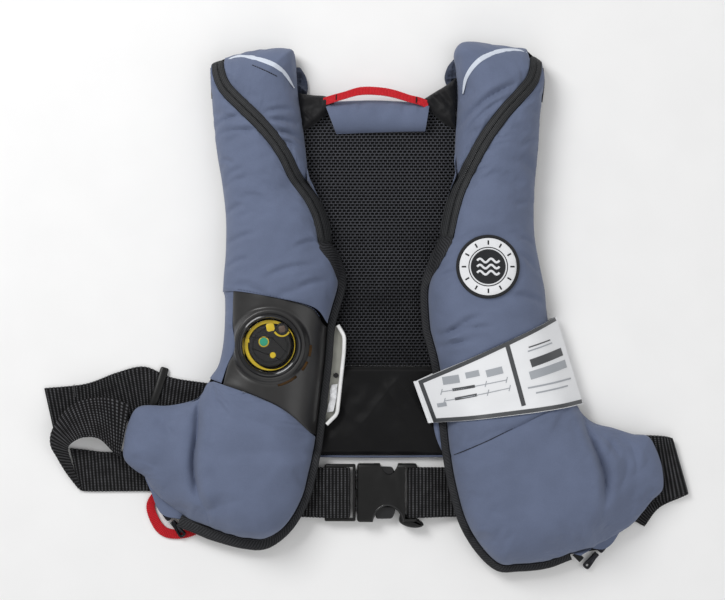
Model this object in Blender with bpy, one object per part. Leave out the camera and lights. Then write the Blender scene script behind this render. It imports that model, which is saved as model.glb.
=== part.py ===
"""Inflatable life jacket, laid flat on its back with its front face up.

+X runs across the jacket, +Y runs up to the shoulders, +Z points away from the floor.
All sizes below are in millimetres; every mesh is made in metres.
"""

import math

import bmesh
import bpy
import numpy as np

MM = 0.001

# Driving sizes
COVER_THICK = 1.5
REAR_THICK = 1.2
EDGE_HEIGHT = 14.0
LOBE_RISE = 37.0
WING_RISE = 19.0
EDGE_ROUNDING = 46.0
BASE_OVER_PANEL = 9.2
BASE_BESIDE_PANEL = 5.2
REAR_EDGE_DROP = 3.7
SEAM_GAP = 0.8
ZIP_WIDTH = 13.0
TEETH_WIDTH = 4.0
BINDING_WIDTH = 8.0
BINDING_THICK = 4.0
PIPING_WIDTH = 3.6
WEBBING_THICK = 2.0
WEBBING_WIDTH = 50.0
PANEL_THICK = 7.0
LINING_THICK = 5.0
SLEEVE_THICK = 0.6
SLEEVE_CLEARANCE = 2.0
PULL_LOOP_WIDTH = 9.0
PULL_LOOP_Z = 1.4
PATCH_RADIUS = 31.5
PATCH_CENTRE = (121.0, 40.0)

# The belt passes under the lobes here, and the lobes' undersides are raised for it
BELT_LIFT = 9.0
BELT_Y = -188.5
BELT_HALF_ZONE = 32.0

INFLATOR_CENTRE = (-95.5, -38.0)
WINDOW_HOLE_RADIUS = 27.0
WINDOW_RING_RADIUS = 31.6

# Left lobe, as seen from the front: outlines in (x, y)
LEFT_ZIP = [(-150, 252), (-147, 233), (-140, 218), (-124, 201), (-99, 176), (-82, 153), (-71, 131),
            (-54, 107), (-45, 86), (-41, 65)]
LEFT_BINDING = [(-41, 62), (-31, 47), (-25, 31), (-25, 18), (-31, -3), (-35.5, -22), (-38, -54),
                (-42, -88), (-46, -123), (-49, -145), (-54, -168), (-61, -194), (-77, -221),
                (-100, -237), (-123, -237), (-150, -230), (-176, -221)]
LEFT_OUTER = [(-161, 243), (-158, 225), (-155, 197), (-151, 157), (-146, 127), (-142, 92),
              (-142, 57), (-144, 32), (-145, 15)]
LEFT_GUSSET_OUTER = [(-145, 14), (-142.5, 4), (-144, -33), (-149, -58), (-158, -72)]
LEFT_NECK = [(-142, 252), (-121, 258), (-100, 261), (-80, 261), (-72, 255), (-69, 217),
             (-64, 182), (-61, 155), (-59.5, 133)]
LEFT_WING = [(-160, -76), (-167, -89), (-176, -95), (-200, -100), (-230, -101), (-241, -118),
             (-245, -136), (-245, -153), (-233, -166), (-224, -172), (-217, -184), (-204, -197),
             (-180, -214)]
LEFT_VALLEY = [(-159, -76), (-168, -96), (-169, -123), (-171, -153), (-169, -180), (-163, -200),
               (-158, -221)]
LEFT_REAR_FLAP = [(-216, -187), (-209, -203), (-203, -214), (-190, -217)]
LEFT_HEM = ((-145, 14.5), (-43, -21))
LEFT_WINDOW_EDGE = [(-132, 9), (-133, -17), (-130, -40), (-138, -58), (-144, -76)]
LEFT_LOWER_TOP = [(-159, -73.5), (-144, -77), (-111, -88), (-79, -104), (-51, -131)]

# Right lobe
RIGHT_ZIP = [(170, 256), (169, 240), (164, 225), (152, 210), (137, 193), (120, 170), (107, 147),
             (93, 118), (86, 95), (81, 70)]
RIGHT_BINDING = [(80, 67), (69, 45.5), (61, 26), (59, 9), (61, -21.5), (64, -34), (70, -58),
                 (76, -100), (81, -147), (87, -181), (97, -216), (113, -244), (133, -263),
                 (153, -264), (182, -261), (207, -252)]
RIGHT_OUTER = [(181, 243), (181, 225), (178, 208), (176, 190), (174.6, 162), (171, 124), (170, 95),
               (171, 70), (175.6, 44), (181, 17), (184, -12), (191, -40), (201, -70), (210, -92)]
RIGHT_NECK = [(162, 261), (150, 263), (135, 265), (108, 268), (95, 266), (89, 256), (91, 240),
              (93, 212), (91, 177), (90, 150), (91, 134)]
RIGHT_WING = [(213, -98), (220, -109), (232, -118), (250, -122.5), (271, -129), (286, -131),
              (295, -147), (300, -165), (300, -185), (289, -197), (267, -222), (231, -243)]
RIGHT_VALLEY = [(211, -97), (221, -116), (229, -140), (238, -172), (236, -205), (216, -250)]
RIGHT_REAR_FLAP = [(258, -227), (250, -240), (241, -246), (230, -245)]
RIGHT_SEAM = ((88, -149), (207, -90))

# Hinges of the two zip pulls
LEFT_PULL_HINGE = (-197.5, -218.0)
RIGHT_PULL_HINGE = (235.5, -250.3)
PULL_HINGE_Z = 4.6

# Belt buckle, on the belt line
BUCKLE_MID_Z = 8.5
BUCKLE_HEIGHT = 15.0
FEMALE_LOW_X = -9.0
FEMALE_HIGH_X = 52.0
FEMALE_HALF_Y = 29.5
MOUTH_HALF_Y = 23.0
MOUTH_HALF_Z = 4.2
NOTCH_RADIUS = 15.0
MALE_LOW_X = -42.0
MALE_HIGH_X = -10.5
MALE_THICK = 7.0
TONGUE_HALF_Y = 3.5
PRONG_INNER_Y = 14.0
PRONG_WIDTH = 5.0


def clear_scene():
    for item in list(bpy.data.objects):
        bpy.data.objects.remove(item, do_unlink=True)


def make_material(name, colour, roughness, metallic=0.0, alpha=1.0):
    material = bpy.data.materials.new(name)
    material.use_nodes = True
    shader = material.node_tree.nodes["Principled BSDF"]
    shader.inputs["Base Color"].default_value = (*colour, 1.0)
    shader.inputs["Roughness"].default_value = roughness
    shader.inputs["Metallic"].default_value = metallic
    shader.inputs["Alpha"].default_value = alpha
    material.diffuse_color = (*colour, alpha)
    return material


def new_object(name, points, faces, material, origin=(0.0, 0.0, 0.0)):
    """A mesh object from points in millimetres, with its own origin and outward faces."""
    corners = [tuple((p - o) * MM for p, o in zip(point, origin)) for point in points]
    mesh = bpy.data.meshes.new(name)
    mesh.from_pydata(corners, [], faces)
    shape = bmesh.new()
    shape.from_mesh(mesh)
    bmesh.ops.recalc_face_normals(shape, faces=shape.faces)
    shape.to_mesh(mesh)
    shape.free()
    mesh.shade_smooth()
    mesh.set_sharp_from_angle(angle=math.radians(40))
    mesh.materials.append(material)
    item = bpy.data.objects.new(name, mesh)
    item.location = [o * MM for o in origin]
    bpy.context.scene.collection.objects.link(item)
    return item


def smooth_line(points, count):
    """Evenly spaced points on the Catmull-Rom curve through the given points."""
    knots = np.array(points, float)
    padded = np.vstack([2 * knots[0] - knots[1], knots, 2 * knots[-1] - knots[-2]])
    steps = np.linspace(0, 1, 13)[:-1, None]
    pieces = []
    for a, b, c, d in zip(padded, padded[1:], padded[2:], padded[3:]):
        pieces.append(0.5 * (2 * b + (c - a) * steps + (2 * a - 5 * b + 4 * c - d) * steps ** 2
                             + (3 * b - a - 3 * c + d) * steps ** 3))
    dense = np.vstack(pieces + [knots[-1:]])
    run = np.concatenate([[0], np.cumsum(np.linalg.norm(np.diff(dense, axis=0), axis=1))])
    wanted = np.linspace(0, run[-1], count)
    return np.column_stack([np.interp(wanted, run, dense[:, k]) for k in range(knots.shape[1])])


def offset_line(line, distance):
    """The line moved sideways in the XY plane, to the left of its direction."""
    tangent = np.gradient(line[:, :2], axis=0)
    tangent /= np.linalg.norm(tangent, axis=1)[:, None]
    normal = np.column_stack([-tangent[:, 1], tangent[:, 0]])
    return line[:, :2] + normal * distance


def smooth_step(value):
    value = np.clip(value, 0.0, 1.0)
    return value * value * (3 - 2 * value)


def closed_grid(name, upper, lower, material, origin=(0.0, 0.0, 0.0)):
    """A closed solid between two grids of points, each rows x columns x 3."""
    rows, columns = upper.shape[:2]
    count = rows * columns
    points = [tuple(p) for p in upper.reshape(-1, 3)] + [tuple(p) for p in lower.reshape(-1, 3)]
    faces = []
    for r in range(rows - 1):
        for c in range(columns - 1):
            a, b = r * columns + c, r * columns + c + 1
            d, e = a + columns, b + columns
            faces.append((a, b, e, d))
            faces.append((a + count, d + count, e + count, b + count))
    rim = [c for c in range(columns)]
    rim += [r * columns + columns - 1 for r in range(1, rows)]
    rim += [(rows - 1) * columns + c for c in range(columns - 2, -1, -1)]
    rim += [r * columns for r in range(rows - 2, 0, -1)]
    for a, b in zip(rim, rim[1:] + rim[:1]):
        faces.append((a, a + count, b + count, b))
    return new_object(name, points, faces, material, origin)


def slab(name, edge_a, edge_b, top, bottom, columns, material):
    """A solid between two height functions, over the strip between two plan lines."""
    return slab_at(name, edge_a, edge_b, top, bottom, np.linspace(0, 1, columns), material)


def crowned_slab(name, edge_a, edge_b, top, bottom, columns, material):
    """As slab, with its columns drawn closer together towards both edges."""
    share = (1 - np.cos(np.linspace(0, math.pi, columns))) / 2
    return slab_at(name, edge_a, edge_b, top, bottom, share, material)


def slab_at(name, edge_a, edge_b, top, bottom, share, material):
    """A slab between two edges, with its lengthwise lines at the given shares of the width."""
    share = share[None, :, None]
    plan = edge_a[:, None, :2] * (1 - share) + edge_b[:, None, :2] * share
    high = top(plan[..., 0], plan[..., 1])[..., None]
    low = bottom(plan[..., 0], plan[..., 1])[..., None]
    return closed_grid(name, np.concatenate([plan, high], 2), np.concatenate([plan, low], 2), material)


def strap(name, ribs, thickness, rows, columns, material):
    """A flat strap through ribs, each a pair of 3D points on its two edges."""
    edge_a = smooth_line([rib[0] for rib in ribs], rows)
    edge_b = smooth_line([rib[1] for rib in ribs], rows)
    share = np.linspace(0, 1, columns)[None, :, None]
    middle = edge_a[:, None, :] * (1 - share) + edge_b[:, None, :] * share
    along = np.gradient(middle, axis=0)
    across = (edge_b - edge_a)[:, None, :] + np.zeros_like(middle)
    normal = np.cross(along, across)
    normal /= np.linalg.norm(normal, axis=2)[..., None]
    half = normal * thickness / 2
    return closed_grid(name, middle + half, middle - half, material)


def box(name, low, high, material, origin=(0.0, 0.0, 0.0)):
    (x0, y0, z0), (x1, y1, z1) = low, high
    upper = np.array([[(x0, y0, z1), (x1, y0, z1)], [(x0, y1, z1), (x1, y1, z1)]], float)
    lower = np.array([[(x0, y0, z0), (x1, y0, z0)], [(x0, y1, z0), (x1, y1, z0)]], float)
    return closed_grid(name, upper, lower, material, origin)


def turned(name, profile, centre, material, segments=32):
    """A solid turned about a vertical axis, from (radius, z) points; radius 0 closes an end."""
    rings = []
    points = []
    for radius, height in profile:
        if radius == 0:
            rings.append([len(points)])
            points.append((centre[0], centre[1], height))
            continue
        first = len(points)
        for k in range(segments):
            angle = 2 * math.pi * k / segments
            points.append((centre[0] + radius * math.cos(angle),
                           centre[1] + radius * math.sin(angle), height))
        rings.append(list(range(first, first + segments)))
    closed = profile[0][0] != 0
    pairs = list(zip(rings, rings[1:])) + ([(rings[-1], rings[0])] if closed else [])
    faces = []
    for low_ring, high_ring in pairs:
        for k in range(segments):
            n = (k + 1) % segments
            a, b = low_ring[k % len(low_ring)], low_ring[n % len(low_ring)]
            c, d = high_ring[n % len(high_ring)], high_ring[k % len(high_ring)]
            faces.append(tuple(dict.fromkeys((a, b, c, d))))
    return new_object(name, points, faces, material, (centre[0], centre[1], profile[0][1]))


def rod(name, start, end, radius, material, sides=12):
    """A round bar between two points."""
    start, end = np.array(start, float), np.array(end, float)
    along = (end - start) / np.linalg.norm(end - start)
    side = np.cross(along, (0, 0, 1) if abs(along[2]) < 0.9 else (1, 0, 0))
    side /= np.linalg.norm(side)
    other = np.cross(along, side)
    angles = [2 * math.pi * k / sides for k in range(sides)]
    ring = [radius * (math.cos(a) * side + math.sin(a) * other) for a in angles]
    points = [tuple(start + r) for r in ring] + [tuple(end + r) for r in ring]
    faces = [tuple(range(sides)), tuple(range(sides, 2 * sides))]
    for k in range(sides):
        n = (k + 1) % sides
        faces.append((k, n, n + sides, k + sides))
    return new_object(name, points, faces, material, tuple(start))


def cut(item, cutters):
    """Takes each cutter away from the item, and keeps the cutters as hidden helpers."""
    for cutter in cutters:
        cutter.hide_render = True
        cutter.display_type = "WIRE"
        step = item.modifiers.new(cutter.name, "BOOLEAN")
        step.operation = "DIFFERENCE"
        step.object = cutter


class Lobe:
    """One padded front lobe: its plan outline and the heights of its two faces."""

    def __init__(self, outline, valley, side, panel_edge):
        self.outline = np.array(outline)[:, :2]
        self.valley = valley
        self.side = side
        self.panel_edge = panel_edge

    def inset(self, x, y):
        """Distance from the outline, in plan."""
        start = self.outline
        step = np.roll(start, -1, axis=0) - start
        length = (step ** 2).sum(1) + 1e-9
        place = np.stack([x, y], -1)[..., None, :] - start
        share = np.clip((place * step).sum(-1) / length, 0, 1)
        return np.sqrt(((place - share[..., None] * step) ** 2).sum(-1).min(-1))

    def lift(self, x, y):
        """The raised underside over the belt, near the jacket's middle."""
        near = smooth_step((BELT_HALF_ZONE + 14 - np.abs(y - BELT_Y)) / 14)
        inner = smooth_step((150 - self.side * x) / 25)
        return BELT_LIFT * near * inner

    def crown(self, x, y):
        share = np.clip(self.inset(x, y) / EDGE_ROUNDING, 0, 1)
        return np.sqrt(1 - (1 - share) ** 2)

    def rise(self, x, y):
        fold_x = np.interp(-y, -self.valley[:, 1], self.valley[:, 0])
        out = self.side * (x - fold_x)
        low = smooth_step((-70 - y) / 30)
        to_wing = smooth_step((out + 14) / 46) * low
        dip = 0.28 * np.exp(-(out / 9) ** 2) * smooth_step((-88 - y) / 16) * smooth_step((y + 212) / 40)
        return (LOBE_RISE + (WING_RISE - LOBE_RISE) * to_wing) * (1 - dip)

    def edge(self, x, y):
        return EDGE_HEIGHT + self.lift(x, y)

    def top(self, x, y):
        return self.edge(x, y) + (self.rise(x, y) - 0.6 * self.lift(x, y)) * self.crown(x, y)

    def under(self, x, y):
        """The rear cover's lower face."""
        beside = smooth_step((self.side * x - self.panel_edge) / 24)
        base = BASE_OVER_PANEL + (BASE_BESIDE_PANEL - BASE_OVER_PANEL) * beside + self.lift(x, y)
        rim = self.edge(x, y) - REAR_EDGE_DROP
        return rim + (base - rim) * self.crown(x, y)

    def above(self, amount):
        return lambda x, y: self.top(x, y) + amount

    def flat(self, amount):
        return lambda x, y: self.edge(x, y) + amount


def lobe_outline(neck, zip_neck_side, binding_inner_side, wing, outer_lines):
    """The plan outline of the pillow, inside its binding."""
    parts = [neck, zip_neck_side, binding_inner_side, wing[::-1]]
    return np.vstack(parts + [line[::-1] for line in outer_lines])


def make_covers(lobe, side_name, fabric, panels):
    for name, edge_a, edge_b, columns in panels:
        crowned_slab(side_name + name, edge_a, edge_b, lobe.top, lobe.above(-COVER_THICK), columns, fabric)


def band_on_line(name, line, width, top, bottom, columns, material):
    return slab(name, offset_line(line, width / 2), offset_line(line, -width / 2), top, bottom,
                columns, material)


def make_trim(lobe, side_name, zip_line, binding_line, piping_points, looks):
    """The zip's tape and teeth, the edge binding and the reflective piping of one lobe."""
    band_on_line(side_name + "_zip_tape", zip_line, ZIP_WIDTH - SEAM_GAP, lobe.above(0.4),
                 lobe.above(-1.2), 5, looks["tape"])
    band_on_line(side_name + "_zip_teeth", zip_line[1:-1], TEETH_WIDTH, lobe.above(2.4),
                 lobe.above(1.3), 2, looks["teeth"])
    band_on_line(side_name + "_edge_binding", binding_line, BINDING_WIDTH - SEAM_GAP,
                 lobe.flat(BINDING_THICK / 2), lobe.flat(-BINDING_THICK / 2), 3, looks["tape"])
    band_on_line(side_name + "_reflective_piping", smooth_line(piping_points, 14), PIPING_WIDTH,
                 lobe.above(2.0), lobe.above(1.0), 2, looks["piping"])


def make_rear(lobe, side_name, edge_a, edge_b, looks):
    crowned_slab(side_name + "_rear_cover", edge_a, edge_b,
                 lambda x, y: lobe.under(x, y) + REAR_THICK, lobe.under, 7, looks["rear"])


def make_bladder(lobe, name, edge_a, edge_b, looks):
    def top(x, y):
        return np.maximum(lobe.top(x, y) - 5, lobe.under(x, y) + 6)

    crowned_slab(name, edge_a, edge_b, top, lambda x, y: lobe.under(x, y) + 3, 6, looks["bladder"])


def make_left_lobe(looks):
    zip_line = smooth_line(LEFT_ZIP, 22)
    binding = smooth_line(LEFT_BINDING, 34)
    half_zip = ZIP_WIDTH / 2 + SEAM_GAP / 2
    half_binding = BINDING_WIDTH / 2
    zip_neck, zip_cover = offset_line(zip_line, half_zip), offset_line(zip_line, -half_zip)
    binding_in = offset_line(binding, -half_binding)
    neck = smooth_line(LEFT_NECK, 20)
    outer = smooth_line(LEFT_OUTER, 20)
    gusset = smooth_line(LEFT_GUSSET_OUTER, 10)
    wing = smooth_line(LEFT_WING, 22)
    valley = smooth_line(LEFT_VALLEY, 20)
    outline = lobe_outline(neck, zip_neck[15:], binding_in, wing, [gusset, outer])
    lobe = Lobe(outline, valley, -1, 150)

    join = offset_line(binding, -half_binding - SEAM_GAP / 2)
    to_hem = join[join[:, 1] > LEFT_HEM[1][1] + 1]
    inner_side = smooth_line(np.vstack([zip_cover[1:], to_hem[1:], [LEFT_HEM[1]]]), 20)
    below = join[join[:, 1] < LEFT_LOWER_TOP[-1][1] - 2]
    lower_top = smooth_line(LEFT_LOWER_TOP, 12)
    lower_inner = smooth_line(np.vstack([lower_top[1:], below]), 20)
    neck_side = smooth_line(zip_neck[1:17], 20)
    neck_rim = smooth_line(neck[:-1], 20)
    wing_rim = smooth_line(wing[1:], 18)
    wing_seam = offset_line(valley, -SEAM_GAP)[:-2]
    panels = [
        ("_upper_cover", outer, inner_side, 9),
        ("_neck_cover", neck_side, neck_rim, 6),
        ("_lower_cover", valley, lower_inner, 9),
        ("_side_wing", wing_rim, wing_seam, 6),
    ]
    make_covers(lobe, "left", looks["fabric"], panels)

    window_left = smooth_line(LEFT_WINDOW_EDGE, 10)
    window_side = offset_line(window_left, -SEAM_GAP)
    crowned_slab("left_side_gusset", gusset, window_side, lobe.above(-0.2), lobe.above(-COVER_THICK), 4,
                 looks["fabric"])
    make_trim(lobe, "left", zip_line, binding,
              [(-142, 248), (-126, 252), (-102, 245.5), (-83, 235), (-72, 220)], looks)
    rear_outer = smooth_line(np.vstack([outer, gusset, wing[:-5], LEFT_REAR_FLAP]), 30)
    rear_inner = smooth_line(np.vstack([neck[::2], zip_neck[17::2], binding_in[::2]]), 30)
    make_rear(lobe, "left", rear_outer + (1.0, 0), rear_inner, looks)
    bladder_outer = np.column_stack([np.linspace(-138, -124, 9), np.linspace(212, 18, 9)])
    bladder_inner = smooth_line([(-100, 232), (-92, 190), (-88, 150), (-76, 110), (-66, 60),
                                 (-66, 12)], 9)
    make_bladder(lobe, "left_bladder", bladder_outer, bladder_inner, looks)
    return lobe, join


def make_right_lobe(looks):
    zip_line = smooth_line(RIGHT_ZIP, 22)
    binding = smooth_line(RIGHT_BINDING, 32)
    half_zip = ZIP_WIDTH / 2 + SEAM_GAP / 2
    half_binding = BINDING_WIDTH / 2
    zip_neck, zip_cover = offset_line(zip_line, -half_zip), offset_line(zip_line, half_zip)
    binding_in = offset_line(binding, half_binding)
    neck = smooth_line(RIGHT_NECK, 20)
    outer = smooth_line(RIGHT_OUTER, 22)
    wing = smooth_line(RIGHT_WING, 20)
    valley = smooth_line(RIGHT_VALLEY, 18)
    outline = lobe_outline(neck, zip_neck[15:], binding_in, wing, [outer])
    lobe = Lobe(outline, valley, 1, 150)
    lobe.inner = offset_line(binding, -half_binding - 1.0)

    join = offset_line(binding, half_binding + SEAM_GAP / 2)
    to_seam = join[join[:, 1] > RIGHT_SEAM[0][1] + 1]
    inner_side = smooth_line(np.vstack([zip_cover[1:], to_seam[1:], [RIGHT_SEAM[0]]]), 26)
    upper_outer = smooth_line(RIGHT_OUTER[:-1] + [RIGHT_SEAM[1]], 26)
    below = join[join[:, 1] < RIGHT_SEAM[0][1] - 1]
    lower_inner = smooth_line(below, 18)
    neck_side = smooth_line(zip_neck[1:17], 20)
    neck_rim = smooth_line(neck[:-1], 20)
    wing_rim = smooth_line(wing[1:], 16)
    wing_seam = offset_line(valley, SEAM_GAP)[:-2]
    panels = [
        ("_upper_cover", upper_outer, inner_side, 9),
        ("_neck_cover", neck_side, neck_rim, 6),
        ("_lower_cover", valley, lower_inner, 9),
        ("_side_wing", wing_rim, wing_seam, 6),
    ]
    make_covers(lobe, "right", looks["fabric"], panels)
    make_trim(lobe, "right", zip_line, binding,
              [(161, 255), (150, 257.5), (135, 256), (120, 250), (108, 241), (100, 229), (97, 214)], looks)
    rear_outer = smooth_line(np.vstack([outer, wing[:-2], RIGHT_REAR_FLAP]), 26)
    rear_inner = smooth_line(np.vstack([neck[::2], zip_neck[17::2], binding_in[::2]]), 26)
    make_rear(lobe, "right", rear_outer - (1.0, 0), rear_inner, looks)
    bladder_outer = smooth_line([(160, 210), (154, 120), (156, 40), (172, -60), (180, -80)], 10)
    bladder_inner = smooth_line([(118, 230), (112, 180), (112, 130), (100, 60), (96, -10), (102, -90)], 10)
    make_bladder(lobe, "right_bladder", bladder_outer, bladder_inner, looks)
    return lobe


def four_sided(top, bottom, left, right):
    """Plan points blended between four boundary lines (a Coons patch)."""
    v = np.linspace(0, 1, len(left))[:, None, None]
    u = np.linspace(0, 1, len(top))[None, :, None]
    across = (1 - v) * top[None] + v * bottom[None]
    down = (1 - u) * left[:, None] + u * right[:, None]
    corners = ((1 - u) * (1 - v) * top[0] + u * (1 - v) * top[-1]
               + (1 - u) * v * bottom[0] + u * v * bottom[-1])
    return across + down - corners


def make_window(lobe, join, looks):
    """The moulded panel round the inflator, with its round hole and three vent slots."""
    bottom_line = smooth_line(LEFT_LOWER_TOP, 30)
    bottom_line = offset_line(bottom_line, SEAM_GAP)
    bottom = smooth_line(bottom_line[(bottom_line[:, 0] > -143.5) & (bottom_line[:, 0] < -52)], 12)
    span = join[(join[:, 1] < LEFT_HEM[1][1] - 3) & (join[:, 1] > bottom[-1][1] + 2)]
    right = smooth_line(np.vstack([span, [bottom[-1] + (2.6, 0)]]), 12)
    bottom = smooth_line(np.vstack([bottom[:-1], [right[-1]]]), 12)
    hem_low, hem_high = np.array(LEFT_HEM[0]), np.array(LEFT_HEM[1])
    start = hem_low + (hem_high - hem_low) * 0.13 - (0, 1.6)
    top = np.linspace(start, right[0], 12)
    left = smooth_line([start] + LEFT_WINDOW_EDGE[1:-1] + [bottom[0]], 12)
    plan = four_sided(top, bottom, left, right)
    high = lobe.top(plan[..., 0], plan[..., 1])[..., None]
    panel = closed_grid("window_panel", np.concatenate([plan, high], 2),
                        np.concatenate([plan, high - 2.0], 2), looks["moulding"])
    cx, cy = INFLATOR_CENTRE
    cutters = [turned("window_hole", [(0, 20), (WINDOW_HOLE_RADIUS, 20), (WINDOW_HOLE_RADIUS, 80), (0, 80)],
                      INFLATOR_CENTRE, looks["moulding"])]
    for number, degrees in enumerate((-8, -33, -62)):
        angle = math.radians(degrees)
        middle = np.array([cx + 40.5 * math.cos(angle), cy + 40.5 * math.sin(angle)])
        along = np.array([-math.sin(angle), math.cos(angle)])
        start, end = middle - along * 6.5, middle + along * 6.5
        side = np.array([math.cos(angle), math.sin(angle)]) * 1.7
        corners = [start - side, start + side, end + side, end - side]
        upper = np.array([[(*corners[0], 80), (*corners[1], 80)], [(*corners[3], 80), (*corners[2], 80)]])
        lower = upper - (0, 0, 60)
        cutters.append(closed_grid("vent_cutter_%d" % number, upper, lower, looks["moulding"]))
    cut(panel, cutters)


def make_inflator(lobe, looks):
    cx, cy = INFLATOR_CENTRE
    top = float(lobe.top(np.array(cx), np.array(cy)))
    turned("window_ring", [(WINDOW_HOLE_RADIUS + 0.5, top + 0.4), (WINDOW_RING_RADIUS, top + 0.4),
                           (WINDOW_RING_RADIUS, top + 2.6), (WINDOW_RING_RADIUS - 2, top + 4.0),
                           (WINDOW_HOLE_RADIUS + 0.5, top + 4.0)], INFLATOR_CENTRE, looks["moulding"])
    lens_radius = WINDOW_HOLE_RADIUS - 0.4
    turned("window_lens", [(0, top - 0.6), (lens_radius, top - 1.6), (lens_radius, top - 0.2),
                           (lens_radius * 0.72, top + 1.6), (0, top + 2.2)], INFLATOR_CENTRE, looks["clear"])
    turned("inflator_body", [(0, 14.6), (21, 14.6), (21, top - 14), (19, top - 12.2), (0, top - 12.2)],
           INFLATOR_CENTRE, looks["moulding"])
    turned("lock_ring", [(22.0, top - 13), (25.4, top - 13), (25.4, top - 4.2), (22.0, top - 4.2)],
           INFLATOR_CENTRE, looks["yellow"])
    turned("inflator_cap", [(0, top - 11.9), (21.5, top - 11.9), (21.5, top - 4.6), (19.5, top - 3.6),
                            (0, top - 3.2)], INFLATOR_CENTRE, looks["cap"])
    turned("status_indicator", [(0, top - 2.9), (4.6, top - 2.9), (4.6, top - 2.5), (0, top - 2.2)],
           (cx - 6, cy + 3.5), looks["green"], 16)
    base = 25.5
    rod("gas_cylinder", (cx - 7, cy - 27, base), (-138, -146, base + 1.5), 12.5, looks["steel"], 16)
    rod("firing_pin", (cx - 26.2, cy + 15.5, base), (cx - 18.5, cy + 15.5, base), 1.5, looks["steel"], 10)
    box("firing_lever", (cx - 30.5, cy - 13, base - 3), (cx - 26.5, cy + 17, base + 3), looks["yellow"],
        (cx - 28.5, cy + 11, base))
    return top


def make_back(looks):
    mesh_left = smooth_line([(-62, 203), (-72, 150), (-88, 90), (-92, 20), (-92, -60)], 12)
    mesh_right = smooth_line([(90, 203), (100, 150), (116, 90), (120, 20), (120, -60)], 12)
    slab("back_mesh_panel", mesh_left, mesh_right, lambda x, y: 0 * x + PANEL_THICK, lambda x, y: 0 * x, 9,
         looks["mesh"])
    lining_left = smooth_line([(-92, -61), (-90, -110), (-84, -152)], 8)
    lining_right = smooth_line([(120, -61), (118, -110), (112, -152)], 8)
    slab("back_lower_lining", lining_left, lining_right, lambda x, y: 0 * x + LINING_THICK,
         lambda x, y: 0 * x, 8, looks["satin"])

    def roll(low, high, height):
        def top(x, y):
            share = np.clip((y - low) / (high - low), 0, 1)
            return PANEL_THICK + 1 + height * np.sqrt(np.maximum(1 - (2 * share - 1) ** 2, 0.02))
        return top

    lower = smooth_line([(-30, 176), (0, 177), (30, 178), (58, 178)], 9)
    upper = smooth_line([(-38, 201), (-16, 203), (25, 203), (62, 199)], 9)
    crowned_slab("back_yoke", lower, upper, roll(176, 203, 15), lambda x, y: 0 * x + PANEL_THICK + 0.5, 8,
                 looks["fabric"])
    strap("grab_strap", [((-42, 205, 19.5), (-42, 213, 20)), ((-28, 206, 21.5), (-28, 214, 22)),
                         ((-6, 211, 24), (-6, 219, 25)), ((12, 211, 24), (12, 219, 25)),
                         ((28, 208.5, 23), (28, 216.5, 24)), ((44, 204.5, 21.5), (44, 212.5, 22)),
                         ((62, 201, 19.5), (63, 209, 20))], 1.6, 16, 2, looks["red"])
    for name, edge_a, edge_b in (
            ("left_back_shoulder", [(-83, 120), (-74, 150), (-63.5, 203), (-62, 244)],
             [(-112, 120), (-132, 150), (-142, 190), (-146, 240)]),
            ("right_back_shoulder", [(111, 120), (102, 150), (91.5, 203), (94, 250)],
             [(132, 120), (150, 150), (162, 190), (168, 246)])):
        slab(name, smooth_line(edge_a, 9), smooth_line(edge_b, 9), lambda x, y: 0 * x + PANEL_THICK,
             lambda x, y: 0 * x + 0.3, 4, looks["rear"])
    left_low = smooth_line([(-60, 181), (-50, 186), (-40, 195)], 7)
    left_high = smooth_line([(-64.5, 218), (-55, 216), (-44, 204)], 7)
    crowned_slab("left_shoulder_lining", left_low, left_high, lambda x, y: 0 * x + 18.5,
                 lambda x, y: 0 * x + PANEL_THICK + 0.5, 5, looks["satin"])
    right_low = smooth_line([(64, 186), (78, 182), (88, 180)], 7)
    right_high = smooth_line([(65, 200), (78, 214), (90.5, 221)], 7)
    crowned_slab("right_shoulder_lining", right_low, right_high, lambda x, y: 0 * x + 18.5,
                 lambda x, y: 0 * x + PANEL_THICK + 0.5, 5, looks["satin"])


def make_straps(looks):
    web = looks["webbing"]
    strap("left_back_strap", [((-328, -83, 1.7), (-318, -128, 1.7)), ((-286, -78.5, 1.7), (-281, -127, 1.7)),
                              ((-254, -67, 1.7), (-243, -116, 1.7)), ((-226, -61, 1.7), (-222, -110, 1.7)),
                              ((-198, -72, 1.7), (-204, -121, 1.7)), ((-160, -78, 1.7), (-166, -127, 1.7))],
          WEBBING_THICK, 18, 3, web)
    strap("left_side_loop", [((-238, -99, 20), (-248, -150, 20)), ((-257, -92, 22), (-254, -147, 22)),
                             ((-277, -92, 23.5), (-268.5, -133, 23.5)),
                             ((-299, -100.5, 22.5), (-285, -132, 22.5)),
                             ((-318, -127, 17.5), (-300, -142, 17.5)), ((-320, -139, 10), (-300, -144, 10)),
                             ((-307, -165, 4), (-286, -145, 4)), ((-285, -188, 2.2), (-269, -146, 2.2)),
                             ((-251, -188, 1.7), (-254, -147, 1.7)), ((-200, -188, 1.7), (-200, -140, 1.7)),
                             ((-160, -190, 1.7), (-160, -142, 1.7))], WEBBING_THICK, 30, 3, web)
    strap("right_side_strap", [((236, -134, 2.4), (250, -200, 2.4)), ((272, -131, 3.6), (284, -199, 3.6)),
                               ((298, -131, 6.5), (308, -196, 6.5)), ((310, -133, 7.0), (325, -190, 7.0)),
                               ((311, -136, 4.0), (327.5, -191, 4.0)), ((304, -146, 1.6), (322, -194, 1.6)),
                               ((283, -170, 1.2), (299, -205, 1.2)), ((246, -203, 1.2), (284, -224, 1.2))],
          1.6, 22, 3, web)


def webbing_loop(name, route, width, looks):
    """A webbing loop round a buckle's bar, from its route in x and z."""
    low, high = BELT_Y - width / 2, BELT_Y + width / 2
    ribs = [((x, low, z), (x, high, z)) for x, z in route]
    return strap(name, ribs, WEBBING_THICK, 30, 2, looks["webbing"])


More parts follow.
